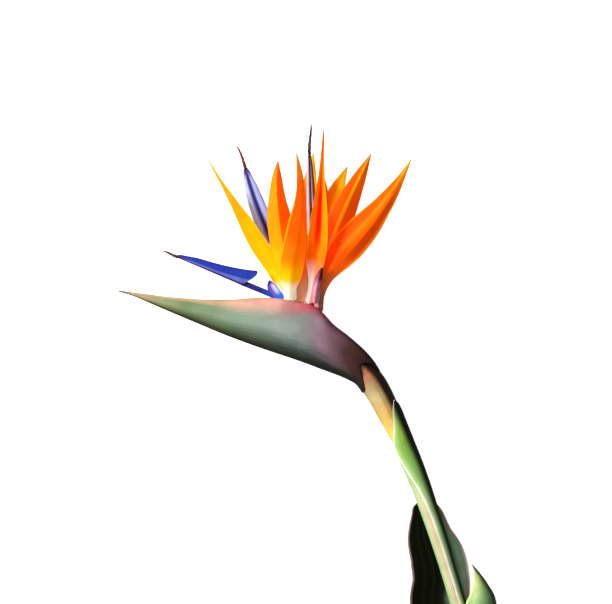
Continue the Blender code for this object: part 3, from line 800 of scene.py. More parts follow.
def spathe_skin():
    """Waxy boat: salmon along the rim and sage flank; towards the keel the colour darkens to olive
    and near-black as painted shade, and at its base it turns wine-dark, partly its own maroon and
    partly painted shade.
    """
    t = Tissue("spathe_wax", rough=0.46, coat=0.04, specular=0.28)
    b = t.b
    high = b.math("ABSOLUTE", b.math("MULTIPLY_ADD", t.x, 2.0, -1.0))
    vein = t.veins(70.0, 0.05, 0.8)
    h = b.add(high, b.mul(vein["Fleck"], 0.20))
    slow = b.cloud(b.xyz(b.mul(t.x, 11.0), b.mul(t.y, 3.0)), detail=3.0)
    h = b.add(h, b.mul(b.sub(slow, 0.5), 0.16))
    # rim colours: towards the base they turn wine-dark to near-black, partly the spathe's own
    # maroon, partly painted shade
    rim = b.tints(t.y, ((0.0, (110, 60, 40)), (0.04, (120, 70, 45)), (0.08, (206, 168, 116)),
                        (0.26, (228, 182, 140)), (0.40, (222, 166, 146)), (0.50, (200, 142, 130)),
                        (0.57, (198, 116, 116)), (0.63, (226, 80, 96)), (0.69, (164, 74, 92)),
                        (0.78, (122, 70, 80)), (0.86, (60, 24, 20)), (1.0, (30, 10, 6))))
    mid = b.tints(t.y, ((0.0, (110, 60, 40)), (0.07, (186, 150, 104)), (0.15, (158, 150, 104)),
                        (0.25, (112, 134, 88)), (0.38, (124, 146, 122)), (0.52, (142, 156, 146)),
                        (0.64, (140, 146, 142)), (0.74, (162, 126, 144)), (0.82, (132, 96, 108)),
                        (0.90, (84, 48, 42)), (1.0, (52, 22, 16))))
    # painted shade: the lower flank and the keel darken towards near-black, the side turned away
    # from the lamp
    low = b.tints(t.y, ((0.0, (90, 50, 30)), (0.10, (120, 104, 66)), (0.22, (70, 90, 42)),
                        (0.40, (74, 90, 70)), (0.58, (72, 88, 78)), (0.72, (50, 54, 48)),
                        (0.90, (46, 38, 32)), (1.0, (40, 24, 18))))
    keel = b.tints(t.y, ((0.0, (70, 40, 25)), (0.2, (48, 48, 24)), (0.60, (30, 34, 20)),
                         (1.0, (26, 20, 14))))
    tint = b.mix(b.ramp01(h, 0.10, 0.36), keel, low)
    tint = b.mix(b.ramp01(h, 0.22, 0.52), tint, mid)
    start = b.math("MULTIPLY_ADD", b.band(t.y, 0.46, 0.06, 0.16), -0.10, 0.66)
    tint = b.mix(b.ramp01(h, start, b.add(start, 0.24)), tint, rim)
    tint = b.mix(b.mul(vein["Line"], 0.07), tint, rgb((70, 80, 70)))
    pale = b.mul(b.ramp01(vein["Fleck"], 0.02, 0.20), 0.14)
    pale = b.mul(pale, b.fade(t.y, 0.5, 0.62))
    tint = b.mix(pale, tint, b.mix(0.5, tint, rgb((205, 215, 205))))
    return t.living(tint, (205, 212, 205), 0.55, 55.0, 0.14, vein["Height"], 0.22, 0.0003)


def spathe_lining():
    t = Tissue("spathe_lining", rough=0.55)
    b = t.b
    vein = t.veins(40.0, 0.3, 0.6)
    tint = b.tints(t.y, ((0.0, (120, 80, 50)), (0.3, (200, 190, 130)), (0.50, (214, 146, 126)),
                         (0.60, (206, 76, 88)), (0.68, (110, 34, 40)), (1.0, (60, 24, 20))))
    tint = b.mix(b.mul(vein["Line"], 0.25), tint, rgb((120, 110, 70)))
    return t.finish(tint, vein["Height"], 0.25, 0.0004)


keep(sheet("spathe_boat", *hull_grids(), (spathe_skin(), spathe_lining())), "spathe")

# --- stem -----------------------------------------------------------------------------
STEM = ((117.0, -262.0, 8.6), (112.6, -244.0, 8.8), (107.6, -224.0, 9.4),
        (102.6, -205.5, 9.8), (97.2, -187.0, 10.0), (92.0, -168.8, 10.2),
        (86.3, -150.0, 10.6), (80.6, -133.0, 11.0), (74.7, -116.0, 11.4),
        (68.7, -100.8, 11.9), (62.1, -85.7, 12.5), (55.1, -70.6, 13.0),
        (48.6, -57.6, 13.0), (42.0, -47.0, 13.0), (35.0, -38.8, 13.0),
        (26.0, -32.4, 13.0), (15.0, -29.4, 13.0), (4.0, -28.2, 13.0), (-6.0, -26.8, 13.0))
STEM_R = ((0.0, 5.4), (0.04, 5.3), (0.07, 5.7), (0.10, 5.4), (0.14, 4.6), (0.19, 3.9),
          (0.277, 3.9), (0.329, 4.4), (0.386, 4.8), (0.443, 5.0), (0.499, 5.3),
          (0.556, 5.8), (0.613, 7.4), (0.665, 8.0), (0.698, 8.3), (0.728, 8.0),
          (0.778, 5.8), (0.83, 4.8), (0.887, 4.2), (0.943, 3.6), (1.0, 2.6))


FLUTES, FLUTE_DEPTH = 16, 0.05


def stem_path(t):
    return chain(STEM, t)


def stem_rings(steps=220, sides=48):
    rings = []
    for i in range(steps + 1):
        t = i / steps
        p, side, face, _ = frame_on(stem_path, t)
        r = table(STEM_R, t)
        ring = []
        for j in range(sides):
            a = 2 * math.pi * j / sides
            d = face * math.cos(a) + side * math.sin(a)
            ring.append(p + d * (r - FLUTE_DEPTH + FLUTE_DEPTH * math.cos(a * FLUTES)))
        rings.append(ring)
    mid = sum(rings[0], Vector()) / sides
    forward = frame_on(stem_path, 0)[3]
    lip = [[mid + (q - mid) * s - forward * d for q in rings[0]] for s,
           d in ((0.45, 0.0), (0.9, 0.0), (0.97, -0.12))]
    return lip + rings[1:]


def stem_skin():
    """Smooth stem: salmon where it leaves the spathe, then tan, yellow and green, with painted
    shade darkening the flank turned away from the lamp to near-black.
    """
    t = Tissue("stem_skin", rough=0.44, coat=0.05, specular=0.30)
    b = t.b
    vein = t.veins(30.0, 0.05, 0.7, 3.0)
    lit = b.tints(t.y, ((0.0, (206, 214, 150)), (0.010, (206, 214, 150)), (0.016, (120, 150, 70)),
                        (0.25, (150, 180, 90)), (0.45, (220, 214, 110)), (0.555, (252, 228, 118)),
                        (0.59, (248, 206, 96)), (0.625, (228, 186, 104)), (0.67, (208, 184, 128)),
                        (0.700, (180, 156, 112)), (0.728, (176, 118, 90)), (0.750, (150, 62, 54)),
                        (0.79, (70, 20, 16)), (1.0, (150, 140, 90))))
    # painted shade: colours of the flank turned away from the lamp, down to near-black
    deep = b.tints(t.y, ((0.0, (206, 214, 150)), (0.010, (206, 214, 150)), (0.016, (60, 80, 30)),
                         (0.40, (60, 70, 30)), (0.55, (110, 60, 20)), (0.60, (64, 36, 14)),
                         (0.68, (34, 14, 8)), (1.0, (30, 8, 6))))
    turn = b.math("SINE", b.mul(t.x, TURN))
    turn = b.add(turn, b.mul(vein["Fleck"], 0.14))
    # painted shade: a brown band where the lit side turns into the shaded flank
    shade_edge_band = b.mul(b.band(turn, 0.14, 0.10, 0.22), b.ramp01(t.y, 0.50, 0.56))
    tint = b.mix(b.mul(shade_edge_band, 0.40), lit, rgb((170, 120, 44)))
    tint = b.mix(b.ramp01(turn, 0.12, 0.52), tint, deep)
    tint = b.mix(b.mul(vein["Line"], 0.08), tint, rgb((150, 120, 60)))
    return t.living(tint, (225, 215, 190), 0.5, 80.0, 0.12, vein["Height"], 0.22, 0.0003)


keep(skin("flower_stem", stem_rings(), stem_skin()), "scape")


# --- leaf sheaths ---------------------------------------------------------------------
UPPER = ((51.5, -63.4, 13.0, 7.9, 46, 54), (53.8, -68.0, 13.0, 7.8, 20, 92),
         (58.1, -77.0, 12.8, 7.1, -8, 168), (63.1, -88.0, 12.4, 6.5, -54, 232),
         (68.7, -100.8, 11.9, 6.1, -50, 318), (74.7, -116.0, 11.4, 5.6, -22, 350),
         (80.6, -133.0, 11.0, 5.15, -3, 366), (86.3, -150.0, 10.6, 4.95, 0, 370),
         (92.0, -168.8, 10.2, 4.5, 4, 374), (96.7, -185.0, 10.0, 4.4, 8, 378),
         (99.9, -196.5, 9.9, 4.5, 9, 379))
LOWER = ((79.2, -121.5, 17.0, 14.0, 176, 184), (78.8, -127.5, 22.0, 20.0, 160, 203),
         (79.0, -133.0, 26.6, 24.6, 157, 205), (81.2, -146.8, 31.6, 29.6, 153, 211),
         (85.6, -160.7, 32.0, 30.0, 146, 216), (87.0, -174.0, 32.0, 30.0, 143, 216),
         (87.0, -189.0, 32.0, 30.0, 142, 220), (92.5, -205.0, 28.2, 26.2, 136, 226),
         (100.5, -220.0, 18.6, 16.6, 128, 240), (108.0, -234.0, 11.6, 9.6, 124, 292),
         (112.9, -246.0, 8.8, 6.4, 120, 335))
SIDE = ((103.6, -166.3, 12.0, 3.0, 80, 100), (107.4, -172.0, 11.8, 4.2, 0, 140),
        (110.2, -180.0, 11.6, 7.0, -44, 150), (111.8, -189.0, 11.6, 9.5, -72, 150),
        (111.6, -205.0, 11.4, 10.0, -50, 138), (111.2, -220.0, 10.4, 9.6, -42, 122),
        (111.5, -234.0, 9.2, 8.2, -25, 112), (112.9, -246.0, 8.6, 6.4, -15, 108))


SHEATH_RIB = 0.05         # depth of the grooves between the ribs
SHEATH_TIP = 0.012        # share of the length that the papery tip takes


def sheath_grids(stations, wall, spiral, steps, across, ribs):
    """Surfaces of a leaf sheath from its centre line, radius and first and last angle,
    with how far each column is turned to the stem's right flank (-1 to 1)."""
    outer, inner, turned = [], [], []
    for i in range(steps + 1):
        t = i / steps
        _, _, high, r, a0, a1 = chain(stations, t)
        p, side, face, _ = frame_on(lambda q: chain(stations, q)[:2] + [0.0], t)
        p, side = p + face * high, -side
        row_o, row_i, row_t = [], [], []
        for j in range(across + 1):
            f = j / across
            a = math.radians(a0 + (a1 - a0) * f)
            d = side * math.sin(a) + face * math.cos(a)
            grow = spiral * max(0.0, 160 - math.degrees(a)) / 260
            thin = wall * (0.55 + 0.45 * math.sin(math.pi * f))
            ridge = SHEATH_RIB * (math.cos(f * 2 * math.pi * ribs) - 1) * 0.5
            row_i.append(p + d * (r + grow))
            row_o.append(p + d * (r + grow + thin + ridge))
            row_t.append(math.sin(a))
        outer.append(row_o)
        inner.append(row_i)
        turned.append(row_t)
    return outer, inner, turned


def sheath_skin(name, left, centre, right, edge, edge_wide=0.03, streak=(60, 100, 50),
                count=30.0, rough=0.46, painted_flank_shade=None, band=None, fleck=0.20, specular=0.22, pale_lit_edge=None):
    """Leaf sheath: three bands of colour across it, a pale papery margin, painted shade that
    darkens the flank turned away to the right, and a left edge paler partly as tissue and partly
    as painted highlight."""
    t = Tissue(name, rough=rough, coat=0.02, specular=specular)
    b = t.b
    vein = t.veins(count, 0.06, 0.8, 2.0)
    line = t.use(LINES, Across=t.x, Margin=edge_wide, Rib=0.03)
    w = b.add(t.x, b.mul(vein["Fleck"], 0.05))
    tint = b.mix(b.ramp01(w, 0.16, 0.46), b.tints(t.y, left), b.tints(t.y, centre))
    tint = b.mix(b.ramp01(w, 0.58, 0.86), tint, b.tints(t.y, right))
    if band:
        colour, middle, half, soft, first, full = band
        on = b.mul(b.band(w, middle, half, soft), b.ramp01(t.y, first, full))
        tint = b.mix(on, tint, rgb(colour))
    tint = b.mix(b.mul(vein["Line"], 0.16), tint, rgb(streak))
    pale = b.mul(b.ramp01(vein["Fleck"], 0.02, 0.16), fleck)
    tint = b.mix(pale, tint, b.mix(0.6, tint, rgb((225, 238, 215))))
    # painted shade: darkens the flank turned away to the right, from the lamp
    if painted_flank_shade:
        colour, first, full, drift = painted_flank_shade
        turn = b.new("ShaderNodeAttribute", attribute_name="Flank")
        slow = b.mul(b.sub(t.y, 0.3), drift)
        far = b.sub(turn.outputs["Fac"], slow)
        far = b.add(far, b.mul(vein["Fleck"], 0.10))
        tint = b.mix(b.ramp01(far, first, full), tint, rgb(colour))
    # paler towards the left edge: partly pale tissue, partly painted highlight
    if pale_lit_edge:
        glow = b.fade(w, 0.02, 0.13)
        tint = b.mix(b.mul(glow, 0.75), tint, rgb(pale_lit_edge))
    rim = b.math("MAXIMUM", b.math("MAXIMUM", line["Left"], line["Right"]),
                 b.fade(t.y, SHEATH_TIP * 0.3, SHEATH_TIP))
    tint = b.mix(b.mul(rim, 0.92), tint, rgb(edge))
    return t.living(tint, (215, 225, 205), 0.5, 75.0, 0.12, vein["Height"], 0.30, 0.0004)


PALE_IN = ((0.0, (235, 240, 200)), (1.0, (200, 215, 150)))
# upper sheath: the lighter left band is partly painted light and the darker centre band partly
# painted shade, besides the leaf's own greens; the painted flank shade darkens its right flank
upper_out = sheath_skin(
    "upper_sheath_skin",
    left=((0.0, (190, 215, 100)), (0.25, (150, 196, 70)), (0.4, (134, 184, 84)),
          (0.55, (124, 172, 112)), (0.8, (126, 170, 124)), (1.0, (132, 176, 112))),
    centre=((0.0, (110, 160, 60)), (0.3, (80, 120, 50)), (0.5, (70, 100, 60)),
            (1.0, (60, 84, 50))),
    right=((0.0, (170, 205, 110)), (0.3, (186, 214, 138)), (0.55, (190, 216, 152)),
           (1.0, (188, 212, 150))),
    edge=(252, 250, 232), edge_wide=0.040, pale_lit_edge=(196, 222, 146),
    painted_flank_shade=((20, 26, 10), 0.16, 0.72, 0.26), band=((226, 200, 166), 0.93, 0.045, 0.03, 0.46, 0.62))
upper_in = sheath_skin("upper_sheath_lining", PALE_IN, PALE_IN, PALE_IN,
                       edge=(252, 250, 232), streak=(180, 190, 120))
*leaf, turned = sheath_grids(UPPER, wall=0.6, spiral=1.0, steps=130, across=96, ribs=20)
keep(sheet("upper_leaf_sheath", *leaf, (upper_out, upper_in), turned), "upper_sheath")

# painted shade: the near-black centre and right bands of the lining stand for the inner face
# turned away from the lamp
lower_in = sheath_skin(
    "lower_sheath_lining",
    left=((0.0, (120, 165, 90)), (0.12, (122, 170, 76)), (0.3, (150, 188, 140)),
          (0.6, (164, 196, 166)), (1.0, (120, 150, 100))),
    centre=((0.0, (14, 16, 5)), (0.5, (7, 8, 2)), (1.0, (14, 18, 8))),
    right=((0.0, (14, 18, 5)), (0.3, (14, 18, 3)), (0.7, (18, 22, 2)), (1.0, (40, 40, 16))),
    edge=(196, 162, 158), edge_wide=0.055, streak=(44, 54, 4), count=7.0, fleck=0.0,
    specular=0.06, rough=0.6)
lower_out = sheath_skin(
    "lower_sheath_skin",
    left=((0.0, (140, 170, 110)), (1.0, (110, 145, 85))),
    centre=((0.0, (110, 145, 90)), (1.0, (90, 125, 70))),
    right=((0.0, (120, 150, 100)), (1.0, (100, 130, 75))),
    edge=(196, 154, 148), edge_wide=0.04)
*leaf, turned = sheath_grids(LOWER, wall=0.9, spiral=0.0, steps=120, across=64, ribs=16)
keep(sheet("lower_leaf_sheath", *leaf, (lower_out, lower_in), turned), "lower_sheath")

# side sheath: the darker right band is partly painted shade, and the painted flank shade darkens
# the side turned away from the lamp
side_out = sheath_skin(
    "side_sheath_skin",
    left=((0.0, (240, 238, 150)), (0.2, (206, 222, 140)), (0.45, (150, 190, 120)),
          (1.0, (120, 158, 84))),
    centre=((0.0, (170, 200, 110)), (0.3, (112, 156, 98)), (1.0, (90, 130, 70))),
    right=((0.0, (100, 130, 70)), (1.0, (70, 100, 50))),
    edge=(250, 244, 176), edge_wide=0.07, painted_flank_shade=((26, 36, 14), 0.50, 1.02, 0.0))
side_in = sheath_skin(
    "side_sheath_lining",
    left=((0.0, (226, 110, 40)), (0.5, (190, 90, 40)), (1.0, (120, 110, 60))),
    centre=((0.0, (150, 90, 40)), (0.4, (110, 110, 50)), (1.0, (90, 110, 60))),
    right=((0.0, (120, 110, 50)), (1.0, (90, 110, 60))),
    edge=(238, 132, 60), edge_wide=0.06)
*leaf, turned = sheath_grids(SIDE, wall=0.8, spiral=0.0, steps=90, across=44, ribs=14)
keep(sheet("side_leaf_sheath", *leaf, (side_out, side_in), turned), "side_sheath")

# ======================================================================================
# Tongues: arrow-headed petals
# ======================================================================================
TONGUE_STALK = 1.9
STALK_RINGS, BARB_RINGS, HEAD_RINGS, TONGUE_SIDES = 30, 12, 70, 48
THIN = 0.8                # least half width of a head
RING = ((0, -1, 0), (0.62, -0.35, -0.8), (1, 0.42, 0.85), (0.5, 0.80, 0.45),
        (0, 0.35, 0), (-0.5, 0.80, 0.45), (-1, 0.42, 0.85), (-0.62, -0.35, -0.8))


def closed_ring(points, count):
    """Smooth closed loop through a few corner points."""
    n = len(points)
    out = []
    for j in range(count):
        f = j / count * n
        i, s = int(f), f - int(f)
        a, b, c, d = (points[(i + k) % n] for k in (-1, 0, 1, 2))
        out.append([0.5 * (2 * q + (r - p) * s + (2 * p - 5 * q + 4 * r - w) * s * s
                           + (3 * q - p - 3 * r + w) * s ** 3) for p, q, r, w in zip(a, b, c, d)])
    return out


BROAD_HEAD = ((0.0, 1.0), (0.3, 0.98), (0.53, 0.88), (0.76, 0.68), (0.93, 0.40), (1.0, 0.10))
LONG_HEAD = ((0.0, 1.0), (0.3, 0.80), (0.53, 0.64), (0.76, 0.50), (0.93, 0.28), (1.0, 0.16))


def tongue_rings(points, length, wide, tall, taper, roll=0.0, flick=0.0, barb=5.5,
                 keel=0.0):
    """Stalk, backward barbs and grooved head of one tongue. A keel depth keeps the
    under side in line with the stalk, so that the lobes stand on top of it."""
    neck = 1.0 - length
    spots = [(neck * i / STALK_RINGS, 0.0, 0.0) for i in range(STALK_RINGS + 1)]
    spots += [(neck, 0.0, o / BARB_RINGS) for o in range(1, BARB_RINGS)]
    heads = [(i / HEAD_RINGS) ** 1.1 for i in range(HEAD_RINGS + 1)]
    spots += [(neck + length * s, s, 1.0) for s in heads]
    rings = []
    for t, s, out in spots:
        p, side, face, along = frame_on(lambda q: bezier(points, q), min(t, 1.0), roll)
        head = table(taper, s)
        grow = math.sin(out * math.pi / 2)
        half = TONGUE_STALK + (max(THIN, wide / 2 * head) - TONGUE_STALK) * grow
        high = TONGUE_STALK + (max(THIN, tall / 2 * head) - TONGUE_STALK) * grow
        deep = TONGUE_STALK + (keel * (1 - 0.6 * s) - TONGUE_STALK) * out if keel else high
        back = -barb * max(0.0, 1 - 3.0 * s) * (1 - math.cos(out * math.pi / 2))
        rise = flick * max(0.0, 1 - 2.0 * s) ** 2 * grow
        tip = 1 - 0.5 * smooth(s, 0.97, 1.0)
        ring = []
        for u, v, g in closed_ring(RING, TONGUE_SIDES):
            lift = v * (high if v > 0 else deep) * tip + max(g, 0) * rise
            ring.append(p + side * u * half * tip + face * lift + along * g * back)
        rings.append(ring)
    return rings


def tongue_skin(name, stops, keel, lobe, groove, rim, other_lobe=None):
    """Velvety tongue: colours along it, a keel line, pale lobes, an edge line, and a darker groove
    between the lobes that is painted shade.
    """
    t = Tissue(name, rough=0.65, specular=0.12, glow=0.05, painted_glow=0.12)
    b = t.b
    vein = t.veins(14.0, 0.2, 0.6)
    base = b.tints(t.y, stops)
    fold = b.math("ABSOLUTE", b.math("MULTIPLY_ADD", t.x, 2.0, -1.0))
    head = b.mul(b.ramp01(t.y, 0.28, 0.36), b.fade(t.y, 0.90, 0.98))
    tint = b.mix(b.mul(b.ramp01(fold, 0.78, 0.94), 0.8), base, rgb(keel))
    flap = rgb(lobe)
    if other_lobe:
        flap = b.mix(b.ramp01(t.x, 0.48, 0.52), rgb(lobe), rgb(other_lobe))
    side = b.band(fold, 0.42, 0.16, 0.16)
    tint = b.mix(b.mul(side, b.mul(head, 0.85)), tint, flap)
    # painted shade: darkens the groove between the lobes
    cut = b.fade(fold, 0.03, 0.14)
    tint = b.mix(b.mul(cut, head), tint, rgb(groove))
    edge = b.band(fold, 0.62, 0.02, 0.04)
    tint = b.mix(b.mul(edge, b.mul(head, 0.7)), tint, rgb(rim))
    tint = b.mix(b.mul(vein["Line"], 0.18), tint, rgb(keel))
    return t.living(tint, (190, 190, 230), 0.5, 120.0, 0.2, vein["Height"], 0.25, 0.0003)


TONGUES = {
    "tongue_a": (
        ((-14.4, 3.8, 13.0), (-27.0, 9.0, 13.0), (-50.0, 18.4, 14.0), (-79.8, 30.2, 14.0)), dict(
            length=0.56, wide=9.0, tall=19.0, roll=84, flick=4.4, barb=5.6, keel=1.9,
            taper=LONG_HEAD),
        "blue_petal", dict(
            stops=((0.0, (8, 104, 220)), (0.08, (8, 98, 210)), (0.16, (30, 50, 140)),
                   (0.28, (44, 38, 104)), (0.45, (34, 56, 150)), (0.85, (52, 58, 150)),
                   (0.95, (50, 40, 120)), (1, (74, 22, 70))), keel=(54, 44, 110),
            lobe=(26, 54, 158), groove=(30, 26, 90), rim=(124, 122, 196))),
    "tongue_b": (
        ((-3.2, 0.6, 9.9), (-10.0, 20.0, 7.0), (-27.0, 50.0, 4.6), (-36.6, 87.0, 6.0)), dict(
            length=0.46, wide=11.4, tall=6.4, taper=BROAD_HEAD),
        "lilac_petal", dict(
            stops=((0.0, (60, 80, 190)), (0.3, (110, 100, 200)), (0.4, (120, 124, 200)),
                   (0.85, (110, 104, 190)), (0.95, (84, 60, 140)), (1, (60, 34, 90))),
            keel=(100, 92, 176), lobe=(172, 184, 222), groove=(40, 30, 74), rim=(92, 84, 176),
            other_lobe=(190, 204, 228))),
    "tongue_c": (
        ((6.0, -1.6, 13.0), (6.6, 30.0, 14.5), (5.0, 66.0, 17.5), (4.0, 96.0, 20.0)), dict(
            length=0.50, wide=5.8, tall=6.0, taper=BROAD_HEAD),
        "maroon_petal", dict(
            stops=((0.0, (120, 60, 110)), (0.4, (110, 60, 80)), (0.6, (160, 146, 160)),
                   (0.88, (120, 100, 120)), (0.96, (60, 34, 56)), (1, (50, 24, 44))),
            keel=(120, 60, 60), lobe=(80, 22, 26), groove=(70, 20, 30), rim=(205, 196, 206),
            other_lobe=(196, 186, 196))),
}
for name, (points, form, slot, look) in TONGUES.items():
    keep(skin(name + "_petal", tongue_rings(points, **form),
              tongue_skin(name + "_velvet", **look)), name)


# ======================================================================================
# Dry tips: each is a bundle of thin strands twisted round one line
# ======================================================================================
def make_strand_tree():
    """Several strands wound round a four-point line."""
    tree, b, i, o, ids = shape_group("twisted_strands", [
        ("Strands", INT, 3), ("Turns", FLOAT, 1.6), ("Spread", FLOAT, 0.00050),
        ("Strand Radius", FLOAT, 0.00062), ("Steps", INT, 60)])
    even = b.step("GeometryNodeResampleCurve", facts={"mode": "COUNT"},
                  Curve=four_point_line(b, i).outputs[0], Count=i["Steps"])
    copies = b.step("GeometryNodeDuplicateElements", facts={"domain": "SPLINE"}, Geometry=even,
                    Amount=i["Strands"])
    share = b.new("GeometryNodeSplineParameter").outputs["Factor"]
    mine = b.new("GeometryNodeAccumulateField", data_type="INT", domain="CURVE")
    mine.inputs["Value"].default_value = 1
    number = b.new("GeometryNodeFieldOnDomain", domain="CURVE", data_type="FLOAT")
    b.put(number.inputs[0], mine.outputs["Leading"])
    turn = b.add(b.mul(share, b.mul(i["Turns"], TURN)),
                 b.mul(number.outputs[0], b.math("DIVIDE", TURN, i["Strands"])))
    face, side = face_and_side(b, b.new("GeometryNodeInputTangent").outputs[0])
    out = b.mul(i["Spread"], b.sub(1.0, b.mul(share, 0.55)))
    shift = b.vec("ADD", b.scaled(side, b.mul(out, b.math("COSINE", turn))),
                  b.scaled(face, b.mul(out, b.math("SINE", turn))))
    wound = b.step("GeometryNodeSetPosition", Geometry=copies, Offset=shift)
    ring = b.step("GeometryNodeCurvePrimitiveCircle", Resolution=10, Radius=i["Strand Radius"])
    thin = b.sub(1.05, b.mul(b.math("POWER", share, 3.0), 0.8))
    slim = b.step("GeometryNodeSetCurveRadius", Curve=wound, Radius=thin)
    kept = b.new("GeometryNodeCaptureAttribute", domain="POINT")
    kept.capture_items.new("FLOAT", "Share")
    b.put(kept.inputs["Geometry"], slim)
    b.put(kept.inputs["Share"], share)
    tube = b.step("GeometryNodeCurveToMesh", Curve=kept.outputs["Geometry"], Profile_Curve=ring,
                  Scale=b.new("GeometryNodeInputRadius").outputs[0], Fill_Caps=True)
    end_tree(b, with_map(b, tube, 0.5, kept.outputs["Share"]), i, o)
    return tree, ids


def dry_skin(name, foot, body, tip):
    t = Tissue(name, rough=0.85, specular=0.2)
    b = t.b
    tint = b.tints(t.y, ((0.0, foot), (0.35, body), (0.8, body), (1.0, tip)))
    grit = b.cloud(b.own_place(), 2200.0)
    return t.living(tint, (150, 110, 80), 0.9, 900.0, 0.5, grit, 0.5, 0.0002)


STRANDS, STRAND_IDS = make_strand_tree()
STIGMAS = {
    "stigma_a": (((-78.4, 29.6, 14.0), (-83.0, 30.6, 14.2), (-85.5, 33.4, 14.2),
                  (-88.6, 33.4, 14.0)), ((70, 30, 80), (120, 70, 60), (190, 160, 130))),
    "stigma_b": (((-36.2, 85.4, 6.0), (-38.4, 92.0, 6.2), (-39.0, 96.0, 6.2),
                  (-42.3, 100.4, 6.0)), ((60, 30, 60), (140, 80, 50), (175, 140, 110))),
    "stigma_c": (((4.05, 94.2, 19.9), (3.6, 102.0, 20.6), (5.6, 108.0, 21.4),
                  (5.0, 113.4, 22.0)), ((40, 20, 40), (110, 60, 55), (170, 120, 100))),
}
for name, (line, colours) in STIGMAS.items():
    keep(grow(name + "_strands", STRANDS, STRAND_IDS, {
        **line_values(line), "Tissue": dry_skin(name + "_dry", *colours)}), name)


# --- hood petals ----------------------------------------------------------------------
def hood_skin(name, left, right, margin, foot, reach=0.2):
    t = Tissue(name, rough=0.5, specular=0.25, glow=0.05, painted_glow=0.14)
    b = t.b
    line = t.use(LINES, Across=t.x, Margin=0.14, Rib=0.08)
    vein = t.veins(9.0, 0.3, 0.5)
    tint = b.mix(b.ramp01(t.x, 0.35, 0.65), rgb(left), rgb(right))
    rim = b.math("MAXIMUM", line["Left"], line["Right"])
    tint = b.mix(b.math("MAXIMUM", rim, b.ramp01(t.y, 0.72, 0.92)), tint, rgb(margin))
    tint = b.mix(b.fade(t.y, reach, reach + 0.22), tint,
                 b.mix(b.mul(rim, 0.35), rgb(foot), rgb(margin)))
    tint = b.mix(b.mul(vein["Line"], 0.22), tint, rgb(margin))
    return t.living(tint, (200, 190, 220), 0.5, 200.0, 0.2, vein["Height"], 0.3, 0.0003)


HOOD_PIECES = {
    # hood_a's pale right colour is a painted highlight inside the hood
    "hood_a": (((-12.8, 3.2, 16.0), (-17.0, 6.4, 16.2), (-20.4, 10.2, 16.2),
                (-21.0, 15.0, 16.4)), 7.6, -34, "blue_petal",
               ((120, 96, 200), (176, 186, 240), (76, 34, 128), (20, 112, 226))),
    "hood_c": (((7.2, 0.2, 20.4), (7.6, 8.0, 21.0), (9.6, 16.0, 24.6),
                (12.0, 23.0, 26.4)), 5.6, 34, "maroon_petal",
               ((150, 50, 90), (104, 14, 36), (74, 8, 20), (206, 134, 150), 0.50)),
}
for name, (line, width, fold, slot, colours) in HOOD_PIECES.items():
    keep(grow(name + "_petal", HOODS, HOOD_IDS, {
        **line_values(line), "Width": width * MM, "Rib": 0.001, "Edge": 0.0004,
        "Fold Foot": math.radians(fold), "Fold Tip": math.radians(fold), "Around": 40,
        "Lengthwise": 48, "Ripple": 0.0006, "Tissue": hood_skin(name + "_skin", *colours)}),
        name)


# --- floret tubes: the solids are right, so they only take a finish --------------------
def tube_skin():
    t = Tissue("floret_tube_skin", rough=0.5)
    b = t.b
    grain = b.cloud(b.step("ShaderNodeMapping", Vector=b.own_place(), Scale=(900.0, 90.0, 900.0)))
    tint = b.mix(b.ramp01(grain, 0.35, 0.7), rgb((236, 214, 196)), rgb((214, 130, 120)))
    return t.finish(tint, grain, 0.3, 0.0003)


tube_mat = tube_skin()
for key in "abc":
    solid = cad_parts["floret_tube_" + key]
    for socket in solid.material_slots:
        socket.material = tube_mat


# --- cut end of the stem: bundle ends and torn fibres -----------------------------------
FIBRE_SIDES = 7


def make_fibre_tree():
    """Short blunt fibres standing on a round cut."""
    tree, b, i, o, ids = shape_group("cut_fibres", [
        ("Centre", VECTOR, None), ("Facing", VECTOR, None), ("Radius", FLOAT, 0.0046),
        ("Fibre Radius", FLOAT, 0.00022), ("Fibre Length", FLOAT, 0.0007),
        ("Count", INT, 90), ("Seed", INT, 4)], on_line=False)
    spread = b.new("GeometryNodePoints")
    b.put(spread.inputs["Count"], i["Count"])
    number = b.new("GeometryNodeInputIndex").outputs[0]
    jitter = b.new("FunctionNodeRandomValue", data_type="FLOAT")
    b.put(jitter.inputs[2], -0.35)
    b.put(jitter.inputs[3], 0.35)
    b.put(jitter.inputs["Seed"], i["Seed"])
    angle = b.mul(b.add(number, jitter.outputs[1]), GOLDEN_TURN)
    reach = b.mul(b.math("POWER", b.math("DIVIDE", b.add(number, 0.5), i["Count"]), 0.5),
                  i["Radius"])
    b.put(spread.inputs["Position"], b.xyz(b.mul(reach, b.math("COSINE", angle)),
                                           b.mul(reach, b.math("SINE", angle))))
    post = b.step("GeometryNodeMeshCylinder", facts={"fill_type": "NGON"}, Vertices=FIBRE_SIDES,
                  Radius=i["Fibre Radius"], Depth=i["Fibre Length"])
    size = b.new("FunctionNodeRandomValue", data_type="FLOAT")
    b.put(size.inputs[2], 0.6)
    b.put(size.inputs[3], 1.3)
    b.put(size.inputs["Seed"], b.add(i["Seed"], 7.0))
    stand = b.step("GeometryNodeInstanceOnPoints", Points=spread.outputs[0], Instance=post,
                   Scale=size.outputs[1])
    real = b.step("GeometryNodeRealizeInstances", Geometry=stand)
    aim = b.step("FunctionNodeAlignRotationToVector", facts={"axis": "Z"}, Vector=i["Facing"])
    turned = b.step("GeometryNodeTransform", Geometry=real, Rotation=aim, Translation=i["Centre"])
    b.put(o["Geometry"], b.step("GeometryNodeSetMaterial", Geometry=turned, Material=i["Tissue"]))
    return tree, ids


